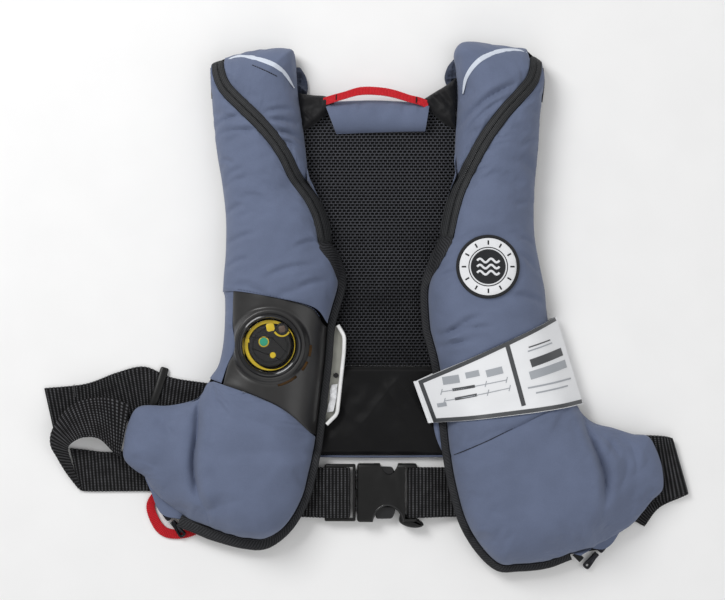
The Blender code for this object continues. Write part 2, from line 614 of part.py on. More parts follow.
def make_keeper(looks):
    """A flat slide bar threaded on the back strap: a frame round the webbing."""
    middle = np.array([-213.5, -89.0])
    along = np.array([0.95, -0.31])
    across = np.array([0.31, 0.95])
    half_long, half_wide = 6.0, 31.0

    def frame(half_a, half_b, low, high, name):
        corners = [middle + along * a + across * b for a, b in
                   ((-half_a, -half_b), (half_a, -half_b), (-half_a, half_b), (half_a, half_b))]
        upper = np.array([[(*corners[0], high), (*corners[1], high)],
                          [(*corners[2], high), (*corners[3], high)]])
        lower = upper - (0, 0, high - low)
        return closed_grid(name, upper, lower, looks["moulding"], (*middle, 2.0))

    keeper = frame(half_long, half_wide, 0.05, 4.6, "strap_keeper")
    cut(keeper, [frame(half_long + 4, half_wide - 3, 0.45, 3.1, "keeper_slot")])


def make_buckle(looks):
    shell = looks["moulding"]
    half = BUCKLE_HEIGHT / 2
    female = box("buckle_female", (FEMALE_LOW_X, BELT_Y - FEMALE_HALF_Y, BUCKLE_MID_Z - half),
                 (FEMALE_HIGH_X, BELT_Y + FEMALE_HALF_Y, BUCKLE_MID_Z + half), shell)
    soften = female.modifiers.new("edges", "BEVEL")
    soften.width = 3.0 * MM
    soften.segments = 2
    mouth = box("mouth_cutter", (FEMALE_LOW_X - 5, BELT_Y - MOUTH_HALF_Y, BUCKLE_MID_Z - MOUTH_HALF_Z),
                (36, BELT_Y + MOUTH_HALF_Y, BUCKLE_MID_Z + MOUTH_HALF_Z), shell)
    cutters = [mouth]
    for sign, name in ((-1, "low"), (1, "high")):
        outside = BELT_Y + sign * (FEMALE_HALF_Y + 5)
        inside = BELT_Y + sign * (MOUTH_HALF_Y - 1)
        cutters.append(box("side_window_" + name,
                           (8, min(outside, inside), BUCKLE_MID_Z - MOUTH_HALF_Z - 0.8),
                           (37, max(outside, inside), BUCKLE_MID_Z + MOUTH_HALF_Z + 0.8), shell))
        profile = [(0, -5), (NOTCH_RADIUS, -5), (NOTCH_RADIUS, 30), (0, 30)]
        cutters.append(turned("side_notch_" + name, profile, (22.5, outside - sign * 1.5), shell, 28))
    cutters.append(box("web_slot", (39.5, BELT_Y - 26, -5), (48, BELT_Y + 26, 30), shell))
    cutters.append(box("bar_relief_top", (47, BELT_Y - 26, 12), (60, BELT_Y + 26, 30), shell))
    cutters.append(box("bar_relief_low", (47, BELT_Y - 26, -5), (60, BELT_Y + 26, 5), shell))
    cut(female, cutters)

    low_z, high_z = BUCKLE_MID_Z - MALE_THICK / 2, BUCKLE_MID_Z + MALE_THICK / 2
    male = box("buckle_male", (MALE_LOW_X, BELT_Y - 29, low_z), (MALE_HIGH_X, BELT_Y + 29, high_z), shell)
    soften = male.modifiers.new("edges", "BEVEL")
    soften.width = 1.5 * MM
    soften.segments = 2
    tongue = box("tongue", (MALE_HIGH_X - 3, BELT_Y - TONGUE_HALF_Y, low_z + 0.6),
                 (30, BELT_Y + TONGUE_HALF_Y, high_z - 0.6), shell)
    tongue.hide_render = True
    tongue.display_type = "WIRE"
    joined = male.modifiers.new("tongue", "BOOLEAN")
    joined.operation = "UNION"
    joined.object = tongue
    cut(male, [box("male_slot", (-22, BELT_Y - 26, -5), (-13.5, BELT_Y + 26, 30), shell)])

    for sign, name in ((-1, "lower_prong"), (1, "upper_prong")):
        make_prong(name, sign, low_z, high_z, shell)

    webbing_loop("right_front_webbing", [(134, 1.6), (90, 1.6), (60, 2.4), (49, 3.1), (44.4, 4.9), (42.9, 8.5),
                                         (44.2, 12.6), (49.5, 14.4), (60, 13.2), (74, 9.2), (88, 6.2),
                                         (134, 5.6)], WEBBING_WIDTH, looks)
    webbing_loop("left_front_webbing", [(-106, 1.6), (-60, 1.6), (-40, 2.2), (-24, 2.9), (-18.6, 4.6),
                                        (-16.8, 8.5), (-18.4, 12.6), (-25, 14.3), (-40, 13.9), (-50, 11.8),
                                        (-64, 7.4), (-78, 5.8), (-106, 5.4)], WEBBING_WIDTH, looks)


def make_prong(name, sign, low_z, high_z, material):
    """A sprung side arm of the male half, with its barb in the side window."""
    inner = PRONG_INNER_Y
    outer = inner + PRONG_WIDTH
    outline = [(MALE_HIGH_X + 0.5, inner), (29, inner), (30, inner + 3), (27, 25.5), (22, 26.5), (12, 26.5),
               (9.6, 24), (9.6, outer), (MALE_HIGH_X + 0.5, outer)]
    count = len(outline)
    points = [(x, BELT_Y + sign * y, z) for z in (low_z + 0.5, high_z - 0.5) for x, y in outline]
    faces = [tuple(range(count)), tuple(range(count, 2 * count))]
    faces += [(k, (k + 1) % count, (k + 1) % count + count, k + count) for k in range(count)]
    new_object(name, points, faces, material, (MALE_HIGH_X + 2, BELT_Y + sign * (inner + 2.5), BUCKLE_MID_Z))


def make_zip_pulls(looks):
    """Each lobe's parked zip slider, with the pull tab that hinges on it."""
    for side_name, hinge, along in (("left", LEFT_PULL_HINGE, (0.61, -0.79)),
                                    ("right", RIGHT_PULL_HINGE, (-0.64, -0.77))):
        centre, along = np.array(hinge), np.array(along)
        across = np.array([-along[1], along[0]])

        def block(name, start, end, half, low, high):
            corners = [centre + along * s + across * o for s in (start, end) for o in (-half, half)]
            upper = np.array([[(*corners[0], high), (*corners[1], high)],
                              [(*corners[2], high), (*corners[3], high)]])
            closed_grid(side_name + name, upper, upper - (0, 0, high - low), looks["nickel"],
                        (*centre, PULL_HINGE_Z))

        block("_zip_slider", -13, -2.2, 4, 2.6, 6.2)
        block("_zip_pull", 0.4, 20, 3.4, 3.2, 6.0)


def make_pull_loop(looks):
    """The red manual pull loop, hanging out under the wing's lower corner."""
    line = smooth_line([(-214, -192), (-219, -204), (-211, -221), (-202, -229), (-184, -230),
                        (-170, -226)], 18)
    inner, outer = offset_line(line, PULL_LOOP_WIDTH / 2), offset_line(line, -PULL_LOOP_WIDTH / 2)
    ribs = [((*a, PULL_LOOP_Z), (*b, PULL_LOOP_Z)) for a, b in zip(inner, outer)]
    strap("pull_loop", ribs, 1.6, 20, 2, looks["red"])


def make_patch(lobe, looks):
    """A round stitched patch on the right lobe, with a raised border and a small centre eyelet."""
    segments = 32
    angles = np.linspace(0, 2 * math.pi, segments, endpoint=False)
    border = PATCH_RADIUS - 2.6
    rings = [(1.5, 2.0), (border / 3, 2.0), (border * 2 / 3, 2.0), (border, 2.0), (border + 0.3, 2.8),
             (PATCH_RADIUS, 2.8)]
    points, faces = [], []
    for raised in (True, False):
        for radius, height in rings:
            x = PATCH_CENTRE[0] + radius * np.cos(angles)
            y = PATCH_CENTRE[1] + radius * np.sin(angles)
            z = lobe.top(x, y) + (height if raised else 0.9)
            points += list(zip(x, y, z))
    levels = len(rings) * segments
    for r in range(len(rings) - 1):
        for k in range(segments):
            a, b = r * segments + k, r * segments + (k + 1) % segments
            faces.append((a, b, b + segments, a + segments))
            faces.append((a + levels, a + segments + levels, b + segments + levels, b + levels))
    for edge in (0, len(rings) - 1):
        for k in range(segments):
            a, b = edge * segments + k, edge * segments + (k + 1) % segments
            faces.append((a, a + levels, b + levels, b))
    new_object("round_patch", points, faces, looks["patch"])


def make_sleeve(lobe, looks):
    """A card sleeve wrapped round the right lobe, as a closed band."""
    inner_low, inner_high = np.array([66.0, -117.0]), np.array([51.0, -75.0])
    outer_low, outer_high = np.array([219.0, -98.0]), np.array([192.0, -10.0])
    share = np.concatenate([np.linspace(0, 0.24, 5), np.linspace(0.32, 0.88, 8), [0.93, 0.97, 1.0]])
    loops = []
    for row in np.linspace(0, 1, 4):
        a = inner_low + (inner_high - inner_low) * row
        b = outer_low + (outer_high - outer_low) * row
        plan = a + (b - a) * share[:, None]
        x, y = plan[:, 0], plan[:, 1]
        outside = (x < np.interp(-y, -lobe.inner[:, 1], lobe.inner[:, 0])) | (share > 0.985)
        high = np.where(outside, EDGE_HEIGHT + 4.0, lobe.top(x, y) + SLEEVE_CLEARANCE + 0.5)
        low = np.where(outside, EDGE_HEIGHT - 4.0, np.interp(x, (122, 150), (8.0, 4.4)))
        low[[0, -1]] = EDGE_HEIGHT
        high[[0, -1]] = EDGE_HEIGHT + 2.0
        loops.append(np.vstack([np.column_stack([plan, high]), np.column_stack([plan, low])[::-1]]))
    loops = np.array(loops)
    count = loops.shape[1]
    tangent = np.roll(loops, -1, axis=1) - np.roll(loops, 1, axis=1)
    along = (np.append(outer_low + outer_high - inner_low - inner_high, 0) / 2)
    along /= np.linalg.norm(along)
    run, climb = tangent @ along, tangent[..., 2]
    size = np.hypot(run, climb)[..., None]
    outward = (climb[..., None] * -along + run[..., None] * np.array([0, 0, 1])) / size
    outer = loops + outward * SLEEVE_THICK
    points = [tuple(p) for p in outer.reshape(-1, 3)] + [tuple(p) for p in loops.reshape(-1, 3)]
    rows = len(loops)
    total = rows * count
    faces = []
    for k in range(count):
        n = (k + 1) % count
        for r in range(rows - 1):
            a, b = r * count + k, r * count + n
            faces.append((a, b, b + count, a + count))
            faces.append((a + total, a + count + total, b + count + total, b + total))
        for edge in (0, (rows - 1) * count):
            faces.append((edge + k, edge + k + total, edge + n + total, edge + n))
    new_object("card_sleeve", points, faces, looks["card"])


def make_tray(looks):
    """The inflator's white tray: a thin plate under the lobe, with a raised rim showing beside it."""
    rim = smooth_line([(-26.5, -19), (-22, -31), (-22, -50), (-25, -88), (-30, -110), (-40, -119)], 14)
    across = [offset_line(rim, side) for side in (-2.6, -2.0, 2.0)]
    back = across[0] * (0, 1) + (-62, 0)
    plan = np.stack([back] + across, axis=1)
    high = np.array([8.3, 8.3, 15.5, 15.5])[None, :, None] + 0 * plan[..., :1]
    panel = np.concatenate([plan, high], 2)
    closed_grid("inflator_tray", panel, np.concatenate([plan, 0 * high + 7.4], 2), looks["white"])
    strap("tray_label", [((-35, -80, 9.3), (-28.5, -79, 11.5)), ((-37, -92, 9.0), (-30.5, -92, 9.4)),
                         ((-39.5, -106, 9.6), (-33.5, -105, 11.0))], 0.4, 6, 3, looks["card"])


def make_oral_tube(looks):
    """The mouth tube for topping up the bladder, with its valve cap, inside the right lobe."""
    rod("oral_tube", (150, -93, 28), (166, -150, 27), 5.5, looks["cap"], 14)
    rod("oral_valve_cap", (166.2, -150.6, 27), (170.4, -165.6, 26.6), 7.5, looks["red"], 14)


def main():
    clear_scene()
    looks = {
        "fabric": make_material("slate_fabric", (0.14, 0.17, 0.27), 0.85),
        "rear": make_material("rear_fabric", (0.03, 0.03, 0.035), 0.9),
        "tape": make_material("charcoal_tape", (0.035, 0.04, 0.045), 0.8),
        "teeth": make_material("zip_teeth", (0.02, 0.02, 0.022), 0.4),
        "piping": make_material("reflective_piping", (0.7, 0.75, 0.82), 0.35),
        "bladder": make_material("bladder_film", (0.75, 0.55, 0.05), 0.5),
        "moulding": make_material("black_moulding", (0.02, 0.02, 0.02), 0.35),
        "clear": make_material("clear_window", (0.9, 0.92, 0.92), 0.05, alpha=0.3),
        "yellow": make_material("yellow_moulding", (0.8, 0.55, 0.03), 0.4),
        "cap": make_material("dark_cap", (0.03, 0.03, 0.03), 0.4),
        "green": make_material("green_indicator", (0.05, 0.5, 0.1), 0.4),
        "steel": make_material("plated_steel", (0.6, 0.6, 0.6), 0.3, 1.0),
        "mesh": make_material("black_mesh", (0.01, 0.01, 0.012), 0.9),
        "satin": make_material("black_satin", (0.01, 0.01, 0.012), 0.6),
        "red": make_material("red_webbing", (0.55, 0.02, 0.03), 0.8),
        "webbing": make_material("black_webbing", (0.015, 0.015, 0.017), 0.8),
        "nickel": make_material("black_nickel", (0.03, 0.03, 0.035), 0.25, 0.6),
        "patch": make_material("patch_cloth", (0.03, 0.035, 0.04), 0.85),
        "card": make_material("white_card", (0.8, 0.81, 0.83), 0.5),
        "white": make_material("white_moulding", (0.8, 0.8, 0.8), 0.4),
    }
    left, left_join = make_left_lobe(looks)
    right = make_right_lobe(looks)
    make_window(left, left_join, looks)
    make_inflator(left, looks)
    make_back(looks)
    make_straps(looks)
    make_keeper(looks)
    make_buckle(looks)
    make_zip_pulls(looks)
    make_pull_loop(looks)
    make_patch(right, looks)
    make_sleeve(right, looks)
    make_tray(looks)
    make_oral_tube(looks)


main()
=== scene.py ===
"""The looks of an inflatable life jacket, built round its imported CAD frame.

+X runs across the jacket, +Y up to the shoulders and +Z off the floor. Design sizes are in
millimetres, and every mesh is made in metres.
"""

import math

import bmesh
import bpy
import numpy as np
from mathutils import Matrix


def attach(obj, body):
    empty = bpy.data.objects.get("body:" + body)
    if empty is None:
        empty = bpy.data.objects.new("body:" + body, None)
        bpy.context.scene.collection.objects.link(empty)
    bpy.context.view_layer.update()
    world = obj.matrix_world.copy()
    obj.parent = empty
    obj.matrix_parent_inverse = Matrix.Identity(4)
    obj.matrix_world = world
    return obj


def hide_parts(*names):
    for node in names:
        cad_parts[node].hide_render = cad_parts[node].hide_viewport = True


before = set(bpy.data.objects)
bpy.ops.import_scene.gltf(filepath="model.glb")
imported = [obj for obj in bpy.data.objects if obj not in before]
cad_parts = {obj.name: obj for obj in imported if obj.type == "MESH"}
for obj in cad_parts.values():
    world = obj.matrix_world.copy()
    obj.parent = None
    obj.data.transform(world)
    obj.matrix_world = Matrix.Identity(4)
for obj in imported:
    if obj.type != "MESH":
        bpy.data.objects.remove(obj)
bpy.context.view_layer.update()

MM = 0.001
JACKET = "jacket"

# Driving sizes, as the CAD has them
EDGE_HEIGHT = 14.0
LOBE_RISE = 37.0
WING_RISE = 19.0
EDGE_ROUNDING = 46.0
BASE_OVER_PANEL = 9.2
BASE_BESIDE_PANEL = 5.2
REAR_EDGE_DROP = 3.7
REAR_THICK = 1.2
SKIN_THICK = 1.2
SEAM_GAP = 0.5
ZIP_WIDTH = 13.0
COIL_PITCH = 1.7
BINDING_WIDTH = 8.0
OUTER_EDGING_TOP = 243.0
BELT_LIFT = 9.0
BELT_Y = -188.5
BELT_HALF_ZONE = 32.0
WEBBING_THICK = 2.0
WEBBING_SCALLOP = 0.45
RIB_PITCH = 3.6
MESH_CELL = 4.4
MESH_ROW = 3.0
PATCH_CENTRE = (121.0, 40.0)
INFLATOR_CENTRE = (-95.5, -38.0)
WINDOW_HOLE_RADIUS = 27.0
WINDOW_RING_RADIUS = 31.6
VENT_RADIUS = 40.5
DISC_CHAMFER = 0.4
TURNED_SHARP = 35
LEFT_PULL_HINGE = (-197.5, -218.0)
RIGHT_PULL_HINGE = (235.5, -250.3)
BUCKLE_MID_Z = 8.5
KEEPER_WIDTH = 8.4
KEEPER_LENGTH = 57.0

# The cloth simulation of the covers
CLOTH_PITCH = 3.6
CLOTH_SCALE = 10.0
CLOTH_SLACK = 0.02
CLOTH_CAP = 4.0
CLOTH_FRAMES = 20
CLOTH_SETTINGS = {"quality": 6, "mass": 0.3, "tension_stiffness": 25, "compression_stiffness": 25,
                  "shear_stiffness": 12, "bending_stiffness": 0.25, "shrink_min": -CLOTH_SLACK,
                  "use_pressure": True, "uniform_pressure_force": 0.6}

# Outlines of the left lobe in plan
LEFT_ZIP = [(-150, 252), (-147, 233), (-140, 218), (-124, 201), (-99, 176), (-82, 153), (-71, 131),
            (-54, 107), (-45, 86), (-41, 65)]
LEFT_BINDING = [(-41, 62), (-31, 47), (-25, 31), (-25, 18), (-31, -3), (-35.5, -22), (-38, -54),
                (-42, -88), (-46, -123), (-49, -145), (-54, -168), (-61, -194), (-77, -221),
                (-100, -237), (-123, -237), (-150, -230), (-176, -221)]
LEFT_OUTER = [(-156.8, 246), (-156.3, 225), (-154.6, 197), (-151, 157), (-146, 127), (-142, 92),
              (-142, 57), (-144, 32), (-145, 15)]
LEFT_GUSSET_OUTER = [(-145, 14), (-142.5, 4), (-144, -33), (-149, -58), (-158, -72)]
LEFT_NECK = [(-142, 252), (-121, 258), (-100, 261), (-80, 261), (-72, 255), (-69, 217),
             (-64, 182), (-61, 155), (-59.5, 133)]
LEFT_WING = [(-160, -76), (-167, -89), (-176, -95), (-200, -100), (-230, -101), (-241, -118),
             (-245, -136), (-245, -153), (-233, -166), (-224, -172), (-217, -184), (-204, -197),
             (-180, -214)]
LEFT_VALLEY = [(-159, -76), (-168, -96), (-169, -123), (-171, -153), (-169, -180), (-163, -200),
               (-158, -221)]
LEFT_REAR_FLAP = [(-218, -188), (-211.5, -205), (-204, -212.5), (-190, -215)]
LEFT_HEM_LINE = [(-145.5, 14.5), (-131, 15), (-108, 11), (-86, 6), (-66, 1), (-52, -6), (-43.5, -20)]
LEFT_WINDOW_EDGE = [(-132, 9), (-133, -17), (-130, -40), (-138, -58), (-144, -76)]
LEFT_LOWER_TOP = [(-159, -73.5), (-144, -77), (-111, -88), (-79, -104), (-51, -131)]
LEFT_PIPING = [(-138, 248.6), (-126, 251.5), (-102, 245.5), (-83, 235), (-72, 220)]

# Outlines of the right lobe in plan
RIGHT_ZIP = [(170.5, 256), (170.2, 240), (165, 225), (152.5, 210), (137, 193), (120, 170), (107, 147),
             (93, 118), (86, 95), (81, 70)]
RIGHT_BINDING = [(80, 67), (69, 45.5), (61, 26), (59, 9), (61, -21.5), (64, -34), (70, -58),
                 (76, -100), (81, -147), (87, -181), (97, -216), (113, -244), (133, -263),
                 (153, -264), (182, -261), (207, -252)]
RIGHT_OUTER = [(178.2, 247), (180.2, 229), (178, 208), (176, 190), (174.6, 162), (171, 124), (170, 95),
               (171, 70), (175.6, 44), (181, 17), (184, -12), (191, -40), (201, -70), (210, -92)]
RIGHT_NECK = [(162, 261), (150, 263), (135, 265), (108, 268), (95, 266), (89, 256), (91, 240),
              (93, 212), (91, 177), (90, 150), (91, 134)]
RIGHT_WING = [(213, -98), (220, -109), (232, -118), (250, -122.5), (271, -129), (286, -131),
              (295, -147), (300, -165), (300, -185), (289, -197), (267, -222), (231, -243)]
RIGHT_VALLEY = [(211, -97), (221, -116), (229, -140), (238, -172), (236, -205), (216, -250)]
RIGHT_REAR_FLAP = [(258, -227), (250, -240), (241, -246), (230, -245)]
RIGHT_SEAM = ((86, -150), (207, -90))
RIGHT_PIPING = [(161, 255), (150, 257.5), (135, 256), (120, 250), (108, 241), (100, 229), (97, 214)]

# Creases in the covers: start, end, depth and width
LEFT_CREASES = [((-93, 186), (-72, 182), 1.3, 2.6), ((-88, 176), (-64, 166), 1.8, 3.0),
                ((-82, 165), (-62, 152), 1.0, 2.6), ((-148, 196), (-128, 184), 1.2, 4.0),
                ((-140, 162), (-104, 176), 1.0, 4.5), ((-144, 120), (-118, 128), 0.8, 4.0),
                ((-140, 22), (-96, 12), 1.2, 4.0), ((-74, 96), (-48, 80), 0.8, 3.5),
                ((-92, 8), (-50, 20), 1.0, 5.0), ((-150, 70), (-128, 60), 0.8, 5.0),
                ((-120, -110), (-70, -135), 0.7, 6.0), ((-215, -108), (-190, -130), 1.2, 4.5),
                ((-238, -150), (-205, -162), 0.9, 5.0), ((-160, -205), (-120, -190), 0.9, 6.0),
                ((-99, 194), (-74, 197), 1.5, 2.2), ((-95, 186), (-69, 184), 1.3, 2.0),
                ((-88, 175), (-68, 170), 1.6, 2.2), ((-83, 166), (-65, 157), 1.4, 2.2),
                ((-146, 184), (-122, 191), 1.3, 2.6), ((-148, 172), (-114, 175), 1.1, 2.4),
                ((-145, 147), (-131, 143), 1.2, 2.4), ((-141, 129), (-123, 138), 1.2, 2.6),
                ((-142, 92), (-122, 102), 1.2, 2.8), ((-144, 61), (-112, 73), 1.3, 2.6),
                ((-145, 36), (-118, 49), 1.4, 2.8), ((-99, 30), (-53, 42), 1.3, 3.0),
                ((-70, 60), (-48, 66), 1.2, 2.2), ((-66, 20), (-40, 26), 1.4, 2.6)]
RIGHT_CREASES = [((94, 182), (146, 221), 2.6, 3.2), ((97, 170), (136, 207), 1.8, 3.0),
                 ((92, 160), (112, 178), 1.2, 3.0), ((76, -31), (112, -10), 2.2, 3.4),
                 ((70, -44), (96, -36), 1.6, 3.0), ((66, 6), (88, 22), 1.0, 4.0),
                 ((116, 2), (178, 8), 0.8, 6.0), ((150, 150), (172, 132), 0.9, 5.0),
                 ((92, -118), (84, -150), 1.4, 3.5), ((250, -130), (232, -160), 1.4, 5.0),
                 ((262, -150), (250, -185), 1.2, 5.0), ((120, -200), (150, -215), 0.8, 7.0),
                 ((286, -150), (262, -172), 1.0, 5.0), ((214, -100), (232, -104), 1.0, 3.0),
                 ((152, 54), (174, 36), 1.4, 2.8), ((155, 69), (171, 62), 1.2, 2.4),
                 ((66, 39), (84, 54), 1.3, 2.4), ((64, 21), (88, 36), 1.4, 2.6),
                 ((67, -30), (124, -20), 1.5, 2.8), ((69, -42), (104, -34), 1.3, 2.4),
                 ((236, -127), (253, -150), 1.7, 3.0), ((265, -136), (270, -166), 1.3, 3.2),
                 ((150, 100), (171, 108), 1.2, 2.6), ((98, 128), (120, 138), 1.1, 2.4),
                 ((155, 160), (174, 172), 1.2, 2.6), ((146, 12), (180, 4), 1.2, 3.0)]


# ---------------------------------------------------------------- lines and fields

def curve_through(points, steps):
    """The Catmull-Rom curve through the given points, with as many steps between each pair."""
    knots = np.array(points, float)
    padded = np.vstack([2 * knots[0] - knots[1], knots, 2 * knots[-1] - knots[-2]])
    t = np.linspace(0, 1, steps + 1)[:-1, None]
    pieces = []
    for a, b, c, d in zip(padded, padded[1:], padded[2:], padded[3:]):
        pieces.append(0.5 * (2 * b + (c - a) * t + (2 * a - 5 * b + 4 * c - d) * t ** 2
                             + (3 * b - a - 3 * c + d) * t ** 3))
    return np.vstack(pieces + [knots[-1:]])


def smooth_line(points, count):
    """Evenly spaced points on the curve through the given points."""
    return even(curve_through(points, 24), count)


def rounded_line(corners, radius, count):
    """A line through corners, each rounded off."""
    corners = np.array(corners, float)
    points = [corners[:1]]
    for before, corner, after in zip(corners, corners[1:], corners[2:]):
        start = corner + (before - corner) / np.linalg.norm(before - corner) * radius
        end = corner + (after - corner) / np.linalg.norm(after - corner) * radius
        t = np.linspace(0, 1, 9)[:, None]
        points.append((1 - t) ** 2 * start + 2 * t * (1 - t) * corner + t ** 2 * end)
    points.append(corners[-1:])
    return even(np.vstack(points), count)


def even(line, count):
    """The same polyline, resampled at equal spacing."""
    run = run_of(line)
    wanted = np.linspace(0, run[-1], count)
    return np.column_stack([np.interp(wanted, run, line[:, k]) for k in range(line.shape[1])])


def run_of(line):
    """Distance along the line at each of its points."""
    return np.concatenate([[0], np.cumsum(np.linalg.norm(np.diff(line, axis=0), axis=1))])


def offset_line(line, distance):
    """The line moved sideways in plan, to the left of its direction."""
    tangent = np.gradient(line[:, :2], axis=0)
    tangent /= np.linalg.norm(tangent, axis=1)[:, None]
    normal = np.column_stack([-tangent[:, 1], tangent[:, 0]])
    distance = np.asarray(distance)
    return line[:, :2] + normal * (distance[:, None] if distance.ndim else distance)


def full_turn(count):
    return np.linspace(0, 2 * math.pi, count, endpoint=False)


def arc(centre, radius, height, angles):
    """Points of a level circle or arc."""
    return np.column_stack([centre[0] + radius * np.cos(angles), centre[1] + radius * np.sin(angles),
                            np.full(len(angles), height)])


def between(edge_a, edge_b, shares):
    """A grid of points between two lines of as many points."""
    share = shares[None, :, None]
    return edge_a[:, None] * (1 - share) + edge_b[:, None] * share


def smooth_step(value):
    value = np.clip(value, 0.0, 1.0)
    return value * value * (3 - 2 * value)


def rounded(away, reach):
    """A quarter-round rise from 0 at an edge to 1 at a reach away from it."""
    return np.sqrt(1 - (1 - np.clip(away / reach, 0, 1)) ** 2)


def soft_noise(x, y, pitch, seed):
    """Smooth random heights from -1 to 1, on a lattice of the given pitch."""
    table = np.random.default_rng(seed).uniform(-1, 1, (64, 64))
    u, v = np.asarray(x) / pitch + 1000, np.asarray(y) / pitch + 1000
    i, j = np.floor(u).astype(int), np.floor(v).astype(int)
    a, b = smooth_step(u - i), smooth_step(v - j)

    def at(p, q):
        return table[p % 64, q % 64]

    low = at(i, j) * (1 - a) + at(i + 1, j) * a
    high = at(i, j + 1) * (1 - a) + at(i + 1, j + 1) * a
    return low * (1 - b) + high * b


def crease_depth(x, y, creases):
    """How far creases push a cover in, with a soft ridge on both sides."""
    total = np.zeros_like(x)
    for start, end, depth, width in creases:
        start, end = np.array(start, float), np.array(end, float)
        step = end - start
        length = np.hypot(*step)
        share = ((x - start[0]) * step[0] + (y - start[1]) * step[1]) / length ** 2
        bow = 0.06 * length * np.sin(math.pi * np.clip(share, 0, 1))
        across = ((y - start[1]) * step[0] - (x - start[0]) * step[1]) / length - bow
        fade = smooth_step((share + 0.15) / 0.4) * smooth_step((1.15 - share) / 0.4)
        valley = np.exp(-np.abs(across / (0.85 * width)) ** 1.4)
        ridge = np.exp(-((np.abs(across) - 2 * width) / width) ** 2)
        total += 1.6 * depth * (valley - 0.4 * ridge) * fade
    return total


class Lobe:
    """One padded front lobe: its plan outline and the heights of its two faces."""

    def __init__(self, outline, valley, side, creases, seed):
        self.outline = np.array(outline)[:, :2]
        self.valley = valley
        self.side = side
        self.creases = creases
        self.seed = seed
        self.moved = []

    def inset(self, x, y):
        start = self.outline
        step = np.roll(start, -1, axis=0) - start
        length = (step ** 2).sum(1) + 1e-9
        flat = np.stack([x, y], -1).reshape(-1, 2)
        nearest = np.empty(len(flat))
        for first in range(0, len(flat), 4000):
            place = flat[first:first + 4000, None, :] - start
            share = np.clip((place * step).sum(-1) / length, 0, 1)
            nearest[first:first + 4000] = ((place - share[..., None] * step) ** 2).sum(-1).min(-1)
        return np.sqrt(nearest).reshape(np.shape(x))

    def outside(self, x, y):
        """Distance beyond the outline, 0 inside it."""
        flat = np.stack([x, y], -1).reshape(-1, 2)
        a, b = self.outline, np.roll(self.outline, -1, axis=0)
        u, v = flat[:, :1], flat[:, 1:]
        slope = (b[:, 0] - a[:, 0]) / (b[:, 1] - a[:, 1] + 1e-9)
        crossing = ((a[:, 1] > v) != (b[:, 1] > v)) & (u < a[:, 0] + (v - a[:, 1]) * slope)
        inside = crossing.sum(1) % 2 == 1
        return np.where(inside.reshape(np.shape(x)), 0.0, self.inset(x, y))

    def lift(self, x, y):
        near = smooth_step((BELT_HALF_ZONE + 14 - np.abs(y - BELT_Y)) / 14)
        return BELT_LIFT * near * smooth_step((150 - self.side * x) / 25)

    def crown(self, x, y):
        return rounded(self.inset(x, y), EDGE_ROUNDING)

    def fold_side(self, x, y):
        """Distance outwards from the fold between the front panel and the side wing."""
        return self.side * (x - np.interp(-y, -self.valley[:, 1], self.valley[:, 0]))

    def rise(self, x, y):
        out = self.fold_side(x, y)
        to_wing = smooth_step((out + 14) / 46) * smooth_step((-70 - y) / 30)
        along = smooth_step((-88 - y) / 16) * smooth_step((y + 212) / 40)
        dip = 0.28 * np.exp(-(out / 9) ** 2) * along
        return (LOBE_RISE + (WING_RISE - LOBE_RISE) * to_wing) * (1 - dip)

    def edge(self, x, y):
        return EDGE_HEIGHT + self.lift(x, y)

    def top(self, x, y):
        return self.edge(x, y) + (self.rise(x, y) - 0.6 * self.lift(x, y)) * self.crown(x, y)

    def face(self, x, y):
        """The outer face, which drops away beyond the outline."""
        beyond = self.outside(x, y)
        return np.where(beyond > 0, self.edge(x, y) - 1.4 * beyond, self.top(x, y))

    def under(self, x, y):
        beside = smooth_step((self.side * x - 150) / 24)
        base = BASE_OVER_PANEL + (BASE_BESIDE_PANEL - BASE_OVER_PANEL) * beside + self.lift(x, y)
        rim = self.edge(x, y) - REAR_EDGE_DROP
        return rim + (base - rim) * self.crown(x, y)

    def skin(self, x, y):
        """The covers' outer face before it settles, with its creases and unevenness."""
        crown = self.crown(x, y)
        uneven = 1.2 * soft_noise(x, y, 34, self.seed) + 0.5 * soft_noise(x, y, 13, self.seed + 1)
        out = self.fold_side(x, y)
        along = smooth_step((-92 - y) / 22) * smooth_step((y + 214) / 60)
        fold = 3.4 * np.exp(-(out / 3.2) ** 2) - 1.6 * np.exp(-((out + 8) / 5) ** 2)
        return self.top(x, y) + crown * (uneven - crease_depth(x, y, self.creases) - fold * along) + 0.2

    def fold(self, x, y):
        """The sharp bottom of the fold between the front panel and the side wing."""
        out = self.fold_side(x, y) + 1.5 * np.sin(y / 11)
        along = smooth_step((-84 - y) / 14) * smooth_step((y + 216) / 55)
        sharp = 3.6 * np.exp(-np.abs(out / 2.6) ** 1.3)
        return (sharp - 1.5 * np.exp(-((out + 7) / 4) ** 2)) * along

    def cloth(self, x, y):
        """The covers' outer face, with the movement of its settled cloth."""
        flat = np.stack([x, y], -1).reshape(-1, 2)
        shift = np.zeros(len(flat))
        for plan, rise in self.moved:
            for first in range(0, len(flat), 1500):
                gap = ((flat[first:first + 1500, None] - plan) ** 2).sum(-1)
                nearest = gap.argmin(1)
                close = gap[np.arange(len(gap)), nearest] < 9.0
                shift[first:first + 1500] += np.where(close, rise[nearest], 0)
        return self.skin(x, y) + shift.reshape(np.shape(x))


# ---------------------------------------------------------------- meshes

